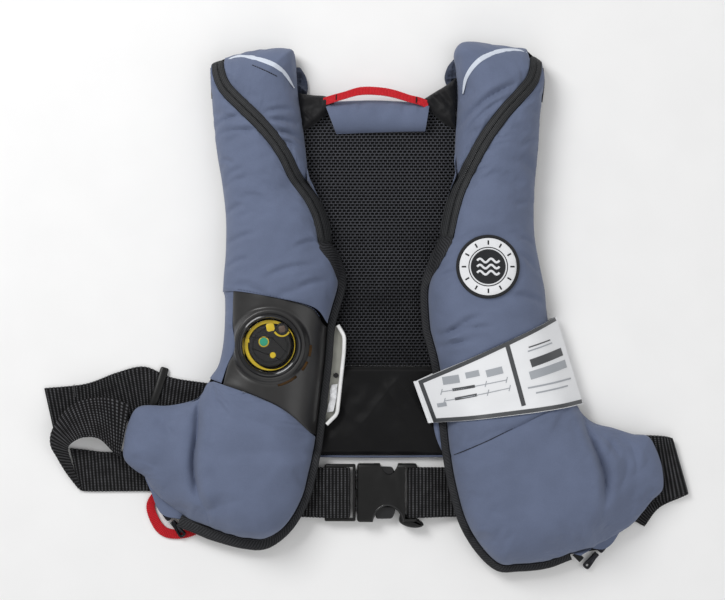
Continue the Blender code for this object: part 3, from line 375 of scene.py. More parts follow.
def add_mesh(name, points, faces, material, sharp=50):
    """A smooth-shaded mesh object from points in millimetres."""
    mesh = bpy.data.meshes.new(name)
    mesh.from_pydata((np.asarray(points, float) * MM).tolist(), [], faces)
    shape = bmesh.new()
    shape.from_mesh(mesh)
    bmesh.ops.recalc_face_normals(shape, faces=shape.faces)
    shape.to_mesh(mesh)
    shape.free()
    mesh.shade_smooth()
    mesh.set_sharp_from_angle(angle=math.radians(sharp))
    if material:
        mesh.materials.append(material)
    item = bpy.data.objects.new(name, mesh)
    bpy.context.scene.collection.objects.link(item)
    return item


def grid_faces(rows, columns, first=0, wrap=False):
    """Quads of a grid of points, closed across its columns if wrap is true."""
    r, c = np.meshgrid(np.arange(rows - 1), np.arange(columns if wrap else columns - 1), indexing="ij")
    n = (c + 1) % columns
    quads = np.stack([r * columns + c, r * columns + n, (r + 1) * columns + n, (r + 1) * columns + c], -1)
    return (quads.reshape(-1, 4) + first).tolist()


def closed_grid(name, upper, lower, material, sharp=50):
    """A closed solid between two grids of points, each rows x columns x 3."""
    rows, columns = upper.shape[:2]
    count = rows * columns
    faces = grid_faces(rows, columns) + [f[::-1] for f in grid_faces(rows, columns, count)]
    rim = list(range(columns))
    rim += [r * columns + columns - 1 for r in range(1, rows)]
    rim += [(rows - 1) * columns + c for c in range(columns - 2, -1, -1)]
    rim += [r * columns for r in range(rows - 2, 0, -1)]
    faces += [(a, a + count, b + count, b) for a, b in zip(rim, rim[1:] + rim[:1])]
    points = np.concatenate([upper.reshape(-1, 3), lower.reshape(-1, 3)])
    return add_mesh(name, points, faces, material, sharp)


def tube(name, rings, material, sharp=50):
    """A closed skin through rings, an array of rows x points x 3, with both ends filled."""
    rows, count = rings.shape[:2]
    faces = grid_faces(rows, count, wrap=True)
    faces += [tuple(range(count))[::-1], tuple((rows - 1) * count + k for k in range(count))]
    return add_mesh(name, rings.reshape(-1, 3), faces, material, sharp)


def many_tubes(name, groups, material):
    """Several closed skins in one mesh."""
    points, faces = [], []
    for rings in groups:
        rows, count = rings.shape[:2]
        first = sum(len(p) for p in points)
        faces += grid_faces(rows, count, first, wrap=True)
        faces.append(tuple(first + k for k in range(count))[::-1])
        faces.append(tuple(first + (rows - 1) * count + k for k in range(count)))
        points.append(rings.reshape(-1, 3))
    return add_mesh(name, np.concatenate(points), faces, material)


def closed_band(name, loops, material, sharp):
    """A skin through loops of points, whose last loop joins the first."""
    rows, count = loops.shape[:2]
    faces = [tuple(v % (rows * count) for v in face) for face in grid_faces(rows + 1, count, wrap=True)]
    return add_mesh(name, loops.reshape(-1, 3), faces, material, sharp)


def turned(name, profile, centre, material, segments):
    """A solid turned about a vertical axis from (radius, z) points; a profile off the axis gives a ring."""
    angles = full_turn(segments)
    rings = np.array([arc(centre, max(radius, 0.01), height, angles) for radius, height in profile])
    make = tube if profile[0][0] == 0 else closed_band
    return make(name, rings, material, TURNED_SHARP)


def bar_on(line, section):
    """Rings of a bar along a 3D line, from section points (side, up)."""
    tangent = np.gradient(line, axis=0)
    tangent /= np.linalg.norm(tangent, axis=1)[:, None]
    side = np.cross(tangent, (0, 0, 1))
    side /= np.linalg.norm(side, axis=1)[:, None]
    up = np.cross(side, tangent)
    section = np.array(section)
    return line[:, None] + section[None, :, :1] * side[:, None] + section[None, :, 1:] * up[:, None]


def round_section(half_wide, half_high, count=10):
    angles = full_turn(count)
    return np.column_stack([half_wide * np.cos(angles), half_high * np.sin(angles)])


def stitches(name, line, material, length, gap, thick, slot="charcoal_tape"):
    """A row of sewn stitches along a 3D line."""
    run = run_of(line)
    count = int(run[-1] / (length + gap))
    dense = even(line, count * 6 + 1)
    share = length / (length + gap)
    groups = []
    for k in range(count):
        start = dense[k * 6]
        end = dense[k * 6] + (dense[k * 6 + 6] - dense[k * 6]) * share
        part = start + (end - start) * np.linspace(0, 1, 5)[:, None]
        part[[0, 4], 2] -= thick
        groups.append(bar_on(part, round_section(thick, thick, 6)))
    return place(many_tubes(name, groups, material), slot=slot)


def place(item, body=JACKET, slot=None, nodes=(), fill=None):
    """Sets what a piece rides on and hides the CAD nodes that it stands for; its material slot is not used.
    """
    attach(item, body)
    if nodes:
        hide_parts(*nodes)
    return item


def applied(item, extra=()):
    """Bakes an object's modifiers into its mesh and removes the helpers."""
    graph = bpy.context.evaluated_depsgraph_get()
    mesh = bpy.data.meshes.new_from_object(item.evaluated_get(graph), depsgraph=graph)
    item.modifiers.clear()
    item.data = mesh
    for helper in extra:
        bpy.data.objects.remove(helper, do_unlink=True)
    return item


def combined(item, tools, operation="DIFFERENCE"):
    """Cuts tools from a piece, or joins them to it, and removes them."""
    for tool in tools:
        step = item.modifiers.new(tool.name, "BOOLEAN")
        step.operation = operation
        step.object = tool
    return applied(item, tools)


# ---------------------------------------------------------------- materials

class Paint:
    """A Principled material whose nodes are added one call at a time."""

    def __init__(self, name, roughness, metallic=0.0, **sockets):
        self.material = bpy.data.materials.new(name)
        self.material.use_nodes = True
        self.tree = self.material.node_tree
        self.shader = self.tree.nodes["Principled BSDF"]
        self.shader.inputs["Roughness"].default_value = roughness
        self.shader.inputs["Metallic"].default_value = metallic
        for socket, value in sockets.items():
            self.shader.inputs[socket.replace("_", " ")].default_value = value
        self.coords = self.node("ShaderNodeTexCoord").outputs["Object"]

    def follow_strap(self):
        """Lays the pattern out along a strap, from its stored coordinates."""
        self.coords = self.node("ShaderNodeAttribute", attribute_name="strap").outputs["Vector"]

    def node(self, kind, **settings):
        item = self.tree.nodes.new(kind)
        for key, value in settings.items():
            setattr(item, key, value)
        return item

    def link(self, output, socket):
        self.tree.links.new(output, socket)

    def noise(self, pitch, detail=2.0, stretch=(1, 1, 1)):
        """Smooth noise whose lumps are about pitch millimetres across."""
        scaled = self.node("ShaderNodeMapping")
        scaled.inputs["Scale"].default_value = stretch
        self.link(self.coords, scaled.inputs["Vector"])
        item = self.node("ShaderNodeTexNoise")
        item.inputs["Scale"].default_value = 1 / (pitch * MM)
        item.inputs["Detail"].default_value = detail
        self.link(scaled.outputs["Vector"], item.inputs["Vector"])
        return item.outputs["Fac"]

    def wave(self, pitch, direction, distortion=0.0):
        """Parallel ridges at the given pitch in millimetres."""
        item = self.node("ShaderNodeTexWave", bands_direction=direction)
        item.inputs["Scale"].default_value = math.pi / 10 / (pitch * MM)
        item.inputs["Distortion"].default_value = distortion
        self.link(self.coords, item.inputs["Vector"])
        return item.outputs["Fac"]

    def math(self, operation, a, b):
        item = self.node("ShaderNodeMath", operation=operation)
        for socket, value in zip(item.inputs, (a, b)):
            if isinstance(value, (int, float)):
                socket.default_value = value
            else:
                self.link(value, socket)
        return item.outputs[0]

    def ramp(self, factor, low, high, low_at=0.3, high_at=0.7):
        """Colours from low to high as the factor rises."""
        item = self.node("ShaderNodeValToRGB")
        ends = item.color_ramp.elements
        ends[0].position, ends[1].position = low_at, high_at
        ends[0].color, ends[1].color = (*low, 1), (*high, 1)
        self.link(factor, item.inputs["Fac"])
        return item.outputs["Color"]

    def colour(self, output):
        self.link(output, self.shader.inputs["Base Color"])

    def rough(self, factor, low, high):
        item = self.node("ShaderNodeMapRange")
        item.inputs["To Min"].default_value = low
        item.inputs["To Max"].default_value = high
        self.link(factor, item.inputs["Value"])
        self.link(item.outputs["Result"], self.shader.inputs["Roughness"])

    def bump(self, height, depth, strength=1.0):
        """Relief of the given depth in millimetres; several calls add up."""
        item = self.node("ShaderNodeBump")
        item.inputs["Strength"].default_value = strength
        item.inputs["Distance"].default_value = depth * MM
        self.link(height, item.inputs["Height"])
        before = self.shader.inputs["Normal"].links
        if before:
            self.link(before[0].from_socket, item.inputs["Normal"])
        self.link(item.outputs["Normal"], self.shader.inputs["Normal"])


def tint(colour, factor):
    return tuple(min(1.0, channel * factor) for channel in colour)


def woven(name, colour, roughness, pitch, depth, sheen, mottle=0.08, gleam=0.3):
    """Plain-weave cloth: crossed threads, fine flecks and slow changes of tone."""
    paint = Paint(name, roughness, Sheen_Weight=sheen, Sheen_Roughness=0.5, Specular_IOR_Level=gleam)
    tone = paint.math("ADD", paint.math("MULTIPLY", paint.noise(26, 3.0), 0.6),
                      paint.math("MULTIPLY", paint.noise(0.9, 2.0), 0.4))
    paint.colour(paint.ramp(tone, tint(colour, 1 - mottle), tint(colour, 1 + mottle), 0.35, 0.65))
    threads = paint.math("MULTIPLY", paint.wave(pitch, "X", 0.4), paint.wave(pitch, "Y", 0.4))
    paint.bump(threads, depth)
    paint.bump(paint.noise(5.0, 3.0), 0.12, 0.5)
    paint.rough(paint.noise(9.0), roughness - 0.05, roughness + 0.05)
    return paint.material


def moulded(name, colour, roughness, grain=0.02, grain_pitch=0.7, mottle=0.12, **sockets):
    """Moulded plastic with a fine spark-eroded grain."""
    paint = Paint(name, roughness, **sockets)
    paint.colour(paint.ramp(paint.noise(14, 3.0), tint(colour, 1 - mottle), tint(colour, 1 + mottle)))
    paint.bump(paint.noise(grain_pitch, 2.0), grain)
    paint.rough(paint.noise(6.0, 3.0), roughness - 0.04, roughness + 0.06)
    return paint.material


def metal(name, colour, roughness):
    paint = Paint(name, roughness, 1.0)
    paint.colour(paint.ramp(paint.noise(8, 3.0), tint(colour, 0.9), tint(colour, 1.06)))
    paint.bump(paint.noise(0.5, 2.0, (1, 6, 1)), 0.008)
    return paint.material


def ribbed(name, colour, glint, pitch=RIB_PITCH, dash=1.75, roughness=0.62, gleam=0.14):
    """Heavy webbing: rows of thread crowns across the strap, with painted highlights on the crowns, from its
    own strap coordinates.
    """
    paint = Paint(name, roughness, Sheen_Weight=0.04, Specular_IOR_Level=gleam)
    paint.follow_strap()
    rib = paint.wave(pitch, "Y", 0.5)
    dashes = paint.math("MULTIPLY", rib, paint.wave(dash, "X", 0.5))
    rows = paint.math("ADD", paint.math("MULTIPLY", rib, 0.3), paint.math("MULTIPLY", dashes, 0.7))
    lively = paint.math("MULTIPLY", rows, paint.math("ADD", paint.noise(9.0, 3.0), 0.35))
    # The crowns are lightened towards the glint colour: painted highlights.
    paint.colour(paint.ramp(lively, colour, glint, 0.25, 0.9))
    paint.bump(paint.math("ADD", paint.math("MULTIPLY", rib, 0.5), dashes), 0.45)
    paint.bump(paint.noise(0.7, 2.0), 0.08)
    return paint.material


def meshed(name, hole, thread):
    """Spacer mesh: pale threads round rows of staggered holes, whose near-black colour is painted shade in
    the holes, and painted shade that darkens the mesh towards the bottom.
    """
    paint = Paint(name, 0.45, Specular_IOR_Level=0.14)
    scale = 12.0
    bricks = paint.node("ShaderNodeTexBrick", offset=0.5, offset_frequency=2, squash=1.0)
    paint.link(paint.coords, bricks.inputs["Vector"])
    bricks.inputs["Scale"].default_value = 1 / (MM * scale)
    bricks.inputs["Brick Width"].default_value = MESH_CELL / scale
    bricks.inputs["Row Height"].default_value = MESH_ROW / scale
    bricks.inputs["Mortar Size"].default_value = 0.95 / scale
    bricks.inputs["Mortar Smooth"].default_value = 0.7
    threads = paint.math("MULTIPLY", bricks.outputs["Fac"], paint.math("ADD", paint.noise(1.3, 2.0), 0.45))
    split = paint.node("ShaderNodeSeparateXYZ")
    paint.link(paint.coords, split.inputs["Vector"])
    # A factor that rises with height up the back: painted shade that darkens the mesh towards the bottom,
    # mixed below with random tone.
    up = paint.math("ADD", paint.math("MULTIPLY", split.outputs["Y"], 3.0), 0.42)
    tone_and_painted_shade = paint.math("ADD", paint.math("MULTIPLY", paint.noise(50, 2.0), 0.5), up)
    # Threads take the thread colour and the holes the near-black hole colour, which is painted shade in the
    # holes.
    paint.colour(paint.ramp(paint.math("MULTIPLY", threads, tone_and_painted_shade), hole, thread, 0.15, 0.9))
    paint.bump(threads, 0.6)
    return paint.material


def taped(name, ground, thread, across, along, twill=0.0):
    """Narrow woven tape: fine lengthwise ribs broken into stitches, from its own strap coordinates."""
    paint = Paint(name, 0.72, Specular_IOR_Level=0.16)
    paint.follow_strap()
    if twill:
        turned_by = paint.node("ShaderNodeMapping")
        turned_by.inputs["Rotation"].default_value = (0, 0, twill)
        paint.link(paint.coords, turned_by.inputs["Vector"])
        paint.coords = turned_by.outputs["Vector"]
    lengthwise = paint.wave(across, "X", 0.6)
    smooth = paint.math("MULTIPLY", lengthwise, 0.7)
    broken = paint.math("MULTIPLY", lengthwise, paint.wave(along, "Y", 0.8))
    ribs = paint.math("ADD", smooth, paint.math("MULTIPLY", broken, 0.3))
    lively = paint.math("MULTIPLY", ribs, paint.math("ADD", paint.noise(7.0, 3.0), 0.45))
    paint.colour(paint.ramp(lively, ground, thread, 0.1, 0.8))
    paint.bump(ribs, 0.3)
    paint.bump(paint.noise(0.8, 2.0), 0.08)
    return paint.material


def strap_coordinates(item, across, along):
    """Stores each point's place across and along a tape, in metres, for its weave."""
    layer = item.data.attributes.new("strap", "FLOAT_VECTOR", "POINT")
    across, along = np.broadcast_arrays(across, along)
    grid = np.dstack([across, along, np.zeros(along.shape)]).reshape(-1, 3) * MM
    copies = len(item.data.vertices) // len(grid)
    layer.data.foreach_set("vector", np.tile(grid, (copies, 1)).ravel())
    return item


def make_looks():
    looks = {
        "blue": woven("slate_blue_cloth", (0.118, 0.145, 0.226), 0.84, 0.8, 0.05, 0.12, 0.07),
        # A darker copy of the slate blue, painted shade for the crumpled shoulder pads behind the neck.
        "painted_shade_blue": woven("slate_blue_painted_shade_cloth", (0.048, 0.058, 0.090), 0.84, 0.8, 0.05, 0.04, 0.3,
                             0.2),
        "black_cloth": woven("black_cloth", (0.010, 0.010, 0.011), 0.85, 0.8, 0.05, 0.04, 0.08, 0.15),
        "tape": taped("charcoal_tape_cloth", (0.020, 0.0205, 0.0215), (0.052, 0.054, 0.057), 1.55, 2.6),
        "binding": taped("charcoal_binding_cloth", (0.016, 0.0165, 0.018), (0.042, 0.043, 0.047), 1.9, 2.4,
                         0.7),
        "teeth": moulded("coil_nylon", (0.022, 0.023, 0.025), 0.3),
        "silver": woven("silver_reflective", (0.60, 0.65, 0.74), 0.38, 0.6, 0.03, 0.0, 0.08),
        "bladder": woven("bladder_cloth", (0.70, 0.50, 0.05), 0.55, 0.7, 0.04, 0.1, 0.06),
        "panel": moulded("satin_panel_plastic", (0.020, 0.0195, 0.0195), 0.34, 0.03, 0.6),
        "gloss": moulded("gloss_black_plastic", (0.008, 0.008, 0.009), 0.11, 0.004, 1.5),
        "shell": moulded("buckle_plastic", (0.008, 0.008, 0.008), 0.36, 0.06, 0.8, Specular_IOR_Level=0.28),
        "prong": moulded("buckle_prong_plastic", (0.012, 0.012, 0.013), 0.18, 0.01, 1.2),
        "yellow": moulded("yellow_plastic", (0.83, 0.60, 0.03), 0.35, 0.01),
        "face": moulded("inflator_face_plastic", (0.010, 0.010, 0.011), 0.45, 0.02),
        "green": moulded("green_plastic", (0.04, 0.42, 0.26), 0.3, 0.004),
        "brown": moulded("brown_plastic", (0.12, 0.08, 0.06), 0.5, 0.02),
        "amber": moulded("amber_plastic", (0.22, 0.10, 0.015), 0.4, 0.02),
        "steel": metal("plated_steel", (0.62, 0.62, 0.60), 0.28),
        "satin": woven("black_satin", (0.004, 0.004, 0.0045), 0.42, 0.5, 0.03, 0.02, 0.2, 0.16),
        "shoulder": woven("black_shoulder_cloth", (0.009, 0.009, 0.010), 0.6, 0.6, 0.04, 0.06, 0.2, 0.2),
        "red": ribbed("red_webbing", (0.62, 0.008, 0.016), (0.90, 0.06, 0.08), 1.5, 1.3, 0.7, 0.3),
        "red_loop": ribbed("red_loop_webbing", (0.46, 0.004, 0.010), (0.85, 0.02, 0.035), 1.7, 1.4, 0.7, 0.3),
        "red_plastic": moulded("red_plastic", (0.50, 0.02, 0.02), 0.4),
        "webbing": ribbed("black_webbing", (0.0030, 0.0030, 0.0034), (0.115, 0.116, 0.124)),
        "nickel": metal("black_nickel", (0.035, 0.035, 0.040), 0.18),
        "patch": woven("patch_cloth", (0.018, 0.019, 0.021), 0.8, 0.7, 0.08, 0.05, 0.2),
        "patch_white": woven("patch_white_thread", (0.76, 0.77, 0.79), 0.75, 0.7, 0.06, 0.05, 0.05),
        "card": moulded("coated_card", (0.80, 0.81, 0.83), 0.38, 0.006, 3.0, 0.015),
        "ink": moulded("printed_grey", (0.060, 0.063, 0.068), 0.4, 0.004, 3.0, 0.04),
        "pale_ink": moulded("printed_pale_grey", (0.36, 0.38, 0.41), 0.45, 0.004, 3.0, 0.03),
        "white": moulded("white_plastic", (0.84, 0.84, 0.84), 0.35, 0.006),
        # The tray's floor: the white plastic darkened to grey, painted shade inside the tray.
        "white_in_painted_shade": moulded("tray_floor_plastic", (0.30, 0.30, 0.265), 0.45, 0.02),
        "thread": woven("blue_thread", (0.085, 0.104, 0.165), 0.8, 0.6, 0.05, 0.0),
        "dark_thread": woven("dark_thread", (0.014, 0.014, 0.016), 0.8, 0.6, 0.05, 0.0),
        "grey_thread": woven("grey_thread", (0.075, 0.075, 0.08), 0.8, 0.6, 0.05, 0.0),
        # The first colour fills the mesh holes: near-black painted shade in the holes.
        "mesh": meshed("spacer_mesh", (0.0008, 0.0008, 0.0009), (0.072, 0.074, 0.084)),
    }
    clear = moulded("clear_window", (0.03, 0.03, 0.03), 0.03, 0.0005, 4.0, 0.01)
    clear.node_tree.nodes["Principled BSDF"].inputs["Alpha"].default_value = 0.08
    looks["clear"] = clear
    return looks


# ---------------------------------------------------------------- camera, floor and lights

def make_camera():
    camera = bpy.data.cameras.new("camera")
    camera.sensor_width = 36.0
    camera.lens = 84.4
    item = bpy.data.objects.new("camera", camera)
    item.location = (-0.0035, 0.007, 1.735)
    bpy.context.scene.collection.objects.link(item)
    bpy.context.scene.camera = item


def make_light(name, place_m, size, power):
    """A rectangular lamp aimed at the jacket's middle."""
    light = bpy.data.lights.new(name, "AREA")
    light.shape = "RECTANGLE"
    light.size, light.size_y = size
    light.energy = power
    item = bpy.data.objects.new(name, light)
    item.location = place_m
    aim = -np.array(place_m)
    item.rotation_euler = (math.atan2(np.hypot(aim[0], aim[1]), -aim[2]), 0,
                           math.atan2(aim[1], aim[0]) - math.pi / 2)
    bpy.context.scene.collection.objects.link(item)


def make_studio():
    points = [(-12000, -12000, 0), (12000, -12000, 0), (12000, 12000, 0), (-12000, 12000, 0)]
    paint = Paint("pale_floor", 0.9)
    paint.colour(paint.ramp(paint.noise(60, 2.0), (0.86, 0.86, 0.86), (0.88, 0.88, 0.88)))
    floor = add_mesh("floor", points, [(0, 1, 2, 3)], paint.material)
    floor.location.z = -0.0002
    make_light("key", (-1.0, 1.1, 1.5), (0.9, 0.9), 27)
    make_light("fill", (1.3, -0.3, 1.5), (1.4, 1.4), 6)
    make_light("front", (0.0, -1.5, 1.2), (1.6, 0.9), 4)
    world = bpy.data.worlds.new("studio")
    world.use_nodes = True
    world.node_tree.nodes["Background"].inputs["Color"].default_value = (1, 1, 1, 1)
    world.node_tree.nodes["Background"].inputs["Strength"].default_value = 0.46
    bpy.context.scene.world = world
    bpy.context.scene.view_settings.view_transform = "Standard"


# ---------------------------------------------------------------- the two lobes

def side_distances(grid):
    """Distance of each grid point from the first and last columns and the first and last rows."""
    rows, columns = grid.shape[:2]
    across = np.linalg.norm(np.diff(grid, axis=1), axis=2)
    across = np.concatenate([np.zeros((rows, 1)), np.cumsum(across, axis=1)], axis=1)
    along = np.linalg.norm(np.diff(grid, axis=0), axis=2)
    along = np.concatenate([np.zeros((1, columns)), np.cumsum(along, axis=0)], axis=0)
    return across, across[:, -1:] - across, along, along[-1:] - along


def boundary_distance(grid):
    """Distance of each grid point from the nearest of the grid's four sides."""
    return np.minimum.reduce(side_distances(grid))


def pick(grid, rows, columns):
    """Values of a grid at fractional row and column numbers."""
    i = np.clip(np.floor(rows).astype(int), 0, grid.shape[0] - 2)
    j = np.clip(np.floor(columns).astype(int), 0, grid.shape[1] - 2)
    a, b = (rows - i)[..., None], (columns - j)[..., None]
    return ((grid[i, j] * (1 - b) + grid[i, j + 1] * b) * (1 - a)
            + (grid[i + 1, j] * (1 - b) + grid[i + 1, j + 1] * b) * a)


def pressed_out(grid):
    """Where light pressure takes a slack cloth that is held along its border, in metres."""
    rows, columns = grid.shape[:2]
    item = add_mesh("cloth_to_settle", grid.reshape(-1, 3), grid_faces(rows, columns), None)
    held = item.vertex_groups.new(name="held")
    number = np.arange(rows * columns).reshape(rows, columns)
    border = np.unique(np.concatenate([number[0], number[-1], number[:, 0], number[:, -1]]))
    held.add(border.tolist(), 1.0, "REPLACE")
    if sum(face.normal.z for face in item.data.polygons) <= 0:
        item.data.flip_normals()
    cloth = item.modifiers.new("cloth", "CLOTH")
    for setting, value in CLOTH_SETTINGS.items():
        setattr(cloth.settings, setting, value)
    cloth.settings.vertex_group_mass = held.name
    cloth.settings.effector_weights.gravity = 0
    cloth.collision_settings.use_collision = False
    for frame_number in range(1, CLOTH_FRAMES + 1):
        bpy.context.scene.frame_set(frame_number)
    shape = item.evaluated_get(bpy.context.evaluated_depsgraph_get())
    points = np.empty(rows * columns * 3)
    shape.data.vertices.foreach_get("co", points)
    bpy.data.objects.remove(item, do_unlink=True)
    bpy.context.scene.frame_set(1)
    return points.reshape(rows, columns, 3)


def settled(grid, seed):
    """How a sewn-in panel of slack cloth moves under the padding's pressure, for each grid point.

    The panel is simulated ten times full size, held along its seams.
    """
    across, back, along, _ = side_distances(grid)
    length, width = along[-1].mean(), (across + back).mean()
    rows, columns = max(int(length / CLOTH_PITCH), 8), max(int(width / CLOTH_PITCH), 8)
    row_run = along[:, along.shape[1] // 2] / along[-1, along.shape[1] // 2]
    column_run = across[across.shape[0] // 2] / across[across.shape[0] // 2, -1]
    at_rows = np.interp(np.linspace(0, 1, rows), row_run, np.arange(grid.shape[0]))
    at_columns = np.interp(np.linspace(0, 1, columns), column_run, np.arange(grid.shape[1]))
    start = pick(grid, at_rows[:, None] + 0 * at_columns, 0 * at_rows[:, None] + at_columns)
    random = np.random.default_rng(seed)
    seeded = start.copy()
    seeded[1:-1, 1:-1, 2] += random.uniform(-0.3, 0.3, (rows - 2, columns - 2))
    move = pressed_out(seeded * CLOTH_SCALE) / (MM * CLOTH_SCALE) - start
    size = np.linalg.norm(move, axis=2, keepdims=True) + 1e-9
    move *= CLOTH_CAP * np.tanh(size / CLOTH_CAP) / size
    rows_at = np.interp(row_run, np.linspace(0, 1, rows), np.arange(rows))
    columns_at = np.interp(column_run, np.linspace(0, 1, columns), np.arange(columns))
    fine = pick(move, rows_at[:, None] + 0 * columns_at, 0 * rows_at[:, None] + columns_at)
    return soften(fine, 2)


def soften(values, passes):
    """Averages each grid point with its neighbours, keeping the borders."""
    for _ in range(passes):
        values[1:-1, 1:-1] = (2 * values[1:-1, 1:-1] + values[:-2, 1:-1] + values[2:, 1:-1]
                              + values[1:-1, :-2] + values[1:-1, 2:]) / 6
    return values


def crowded(count):
    """Shares from 0 to 1, drawn closer together towards both ends."""
    return (1 - np.cos(np.linspace(0, math.pi, count))) / 2


def plan_between(edge_a, edge_b, columns, rows=None):
    if rows:
        edge_a, edge_b = even(edge_a[:, :2], rows), even(edge_b[:, :2], rows)
    return between(edge_a[:, :2], edge_b[:, :2], crowded(columns))


def seam_drop(sides, rolls):
    """How far a cover rolls in at each of its four sides."""
    drop = np.zeros_like(sides[0])
    for away, strength in zip(sides, rolls):
        drop = np.maximum(drop, strength * (1.3 * np.exp(-away / 1.3) + 0.8 * np.exp(-(away / 7) ** 2)))
    return drop


def seam_puckers(lines, sides, rolls, seed):
    """The gathers that run in from a cover's first and last edge lines."""
    total = np.zeros_like(sides[0])
    for number, line in enumerate(lines):
        run = run_of(line)[:, None] + 0 * total
        total += rolls[number] * gathers(run, sides[number], seed + number)
    return total


def finish_cover(lobe, name, plan, upper, material, nodes):
    """Makes a cover from its outer face, and notes how that lies on the lobe."""
    x, y = plan[..., 0], plan[..., 1]
    lobe.moved.append((plan.reshape(-1, 2), (upper[..., 2] - lobe.skin(x, y)).reshape(-1)))
    piece = closed_grid(name, upper, upper - (0, 0, SKIN_THICK), material)
    return place(piece, slot="slate_fabric", nodes=nodes, fill=0.7)


def cover(lobe, name, edges, material, nodes, rows, columns, rolls=(1, 1, 1, 1), height=None, sink=0.0,
          settle=True):
    """A padded cover panel through two or more edge lines, rolled in at its seams.

    rolls are the strengths at the first edge line, the last one, the first row and the last row.
    """
    lines = [even(edge[:, :2], rows) for edge in edges]
    parts = []
    for a, b, count in zip(lines, lines[1:], columns):
        shares = crowded(count) if len(columns) == 1 else np.linspace(0, 1, count)
        part = between(a, b, shares)
        parts.append(part[:, 1:] if parts else part)
    plan = np.concatenate(parts, axis=1)
    x, y = plan[..., 0], plan[..., 1]
    upper = np.dstack([x, y, (height or lobe.skin)(x, y)])
    sides = side_distances(upper)
    if settle:
        clear = smooth_step((np.hypot(x - PATCH_CENTRE[0], y - PATCH_CENTRE[1]) - 33) / 12)
        upper = upper + settled(upper, lobe.seed) * (clear * (1 - 0.75 * under_card(x, y)))[..., None]
    drop = seam_drop(sides, rolls) + sink * smooth_step((6 - sides[3]) / 3)
    gather = seam_puckers((lines[0], lines[-1]), sides, rolls, 77)
    upper[..., 2] += 0.5 - drop + gather - lobe.fold(x, y)
    return finish_cover(lobe, name, plan, upper, material, nodes)


def gathers(run, away, seed):
    """Puckers that run in from a seam: run along it, away from it."""
    lean = run + 0.35 * away
    broad = 0.4 - np.abs(soft_noise(lean, away * 0.16, 8.5, seed))
    fine = 0.35 - np.abs(soft_noise(lean, away * 0.25, 3.7, seed + 14))
    reach = 12 + 10 * soft_noise(run, 0 * away, 21, seed + 5)
    return (1.9 * broad + 0.9 * fine) * np.exp(-(away / reach) ** 1.5) * smooth_step(away / 3)


def under_card(x, y):
    """1 where the card sleeve presses on the right lobe, 0 away from it."""
    (ax, ay), (bx, by) = SLEEVE_INNER
    (cx, cy), (dx, dy) = SLEEVE_OUTER
    low = y - (ay + (cy - ay) * (x - ax) / (cx - ax))
    high = (by + (dy - by) * (x - bx) / (dx - bx)) - y
    return smooth_step((low + 6) / 12) * smooth_step((high + 6) / 12) * smooth_step((x - 40) / 20)


def above(lobe, line, amount):
    """Plan points laid on the lobe, lifted by amount."""
    return np.column_stack([line[:, :2], lobe.top(line[:, 0], line[:, 1]) + amount])


def banked_edge(binding, side):
    """The lobe's edge along the binding: below the zip's end it crosses under the tape."""
    share = smooth_step(run_of(binding) / 46)[:, None]
    near = offset_line(binding, -side * (ZIP_WIDTH / 2 + 0.1))
    return near * (1 - share) + offset_line(binding, side * BINDING_WIDTH / 2) * share


def make_zip(lobe, side_name, zip_line, looks):
    """Ribbed tape on both sides of a closed coil."""
    line = even(zip_line[1:], 260)
    offsets = np.linspace(-1, 1, 45) * (ZIP_WIDTH / 2 + 0.9)
    run = run_of(line)
    narrow = 1 - 0.10 * smooth_step((run - run[-1] + 15) / 15)
    narrow *= np.sqrt(1 - (1 - np.clip((run + 0.8) / 7.5, 0, 1)) ** 2)
    plan = np.stack([offset_line(line, d * narrow) for d in offsets], axis=1)
    height = lobe.face(plan[..., 0], plan[..., 1]) + 0.9
    away = np.abs(offsets)
    ribs = 0.14 * np.cos(2 * math.pi * away / 1.55)
    hump = 0.7 * np.exp(-((away - 2.1) / 1.3) ** 2) - 1.5 * np.exp(-(away / 0.55) ** 2)
    ends = 2.4 * smooth_step((away - 5.7) / 1.4)
    ripple = 0.18 * soft_noise(run[:, None] + 0 * height, offsets[None] * 0.4 + 0 * height, 3.2, 19)
    tips = 2.0 * np.exp(-(run[-1] - run) / 2.0)[:, None] + 3.5 * np.exp(-run / 2.2)[:, None]
    upper = np.dstack([plan, height + ribs + hump - ends + ripple - tips])
    tape = closed_grid(side_name + "_tape", upper, upper - (0, 0, 1.2), looks["tape"])
    strap_coordinates(tape, offsets[None, :], run[:, None])
    place(tape, slot="charcoal_tape", nodes=(side_name + "_zip_tape",))
    make_coil(lobe, side_name, line, looks["teeth"])
    for sign in (-1, 1):
        tape_seam = above(lobe, offset_line(line, sign * 5.0), 1.0)[4:-12]
        stitches("%s_tape_stitches_%d" % (side_name, (sign + 1) // 2), tape_seam, looks["dark_thread"],
                 2.0, 1.0, 0.22)


def make_coil(lobe, side_name, line, material):
    """The closed coil down the middle of the zip, in pairs of short bars."""
    count = int(run_of(line)[-1] / COIL_PITCH)
    groups = []
    coil = even(line, count)
    along = np.gradient(coil, axis=0)
    along /= np.linalg.norm(along, axis=1)[:, None]
    across = np.column_stack([-along[:, 1], along[:, 0]])
    for k in range(3, count - 3):
        for sign in (-1, 1):
            inner, outer = coil[k] + across[k] * 0.35 * sign, coil[k] + across[k] * 1.5 * sign
            plan = inner + (outer - inner) * np.linspace(0, 1, 4)[:, None] + along[k] * 0.25 * sign
            bar = above(lobe, plan, 1.15)
            bar[[0, 3], 2] -= (0.35, 0.6)
            groups.append(bar_on(bar, round_section(0.5, 0.38, 6)))
    place(many_tubes(side_name + "_coil", groups, material), slot="zip_teeth",
          nodes=(side_name + "_zip_teeth",))


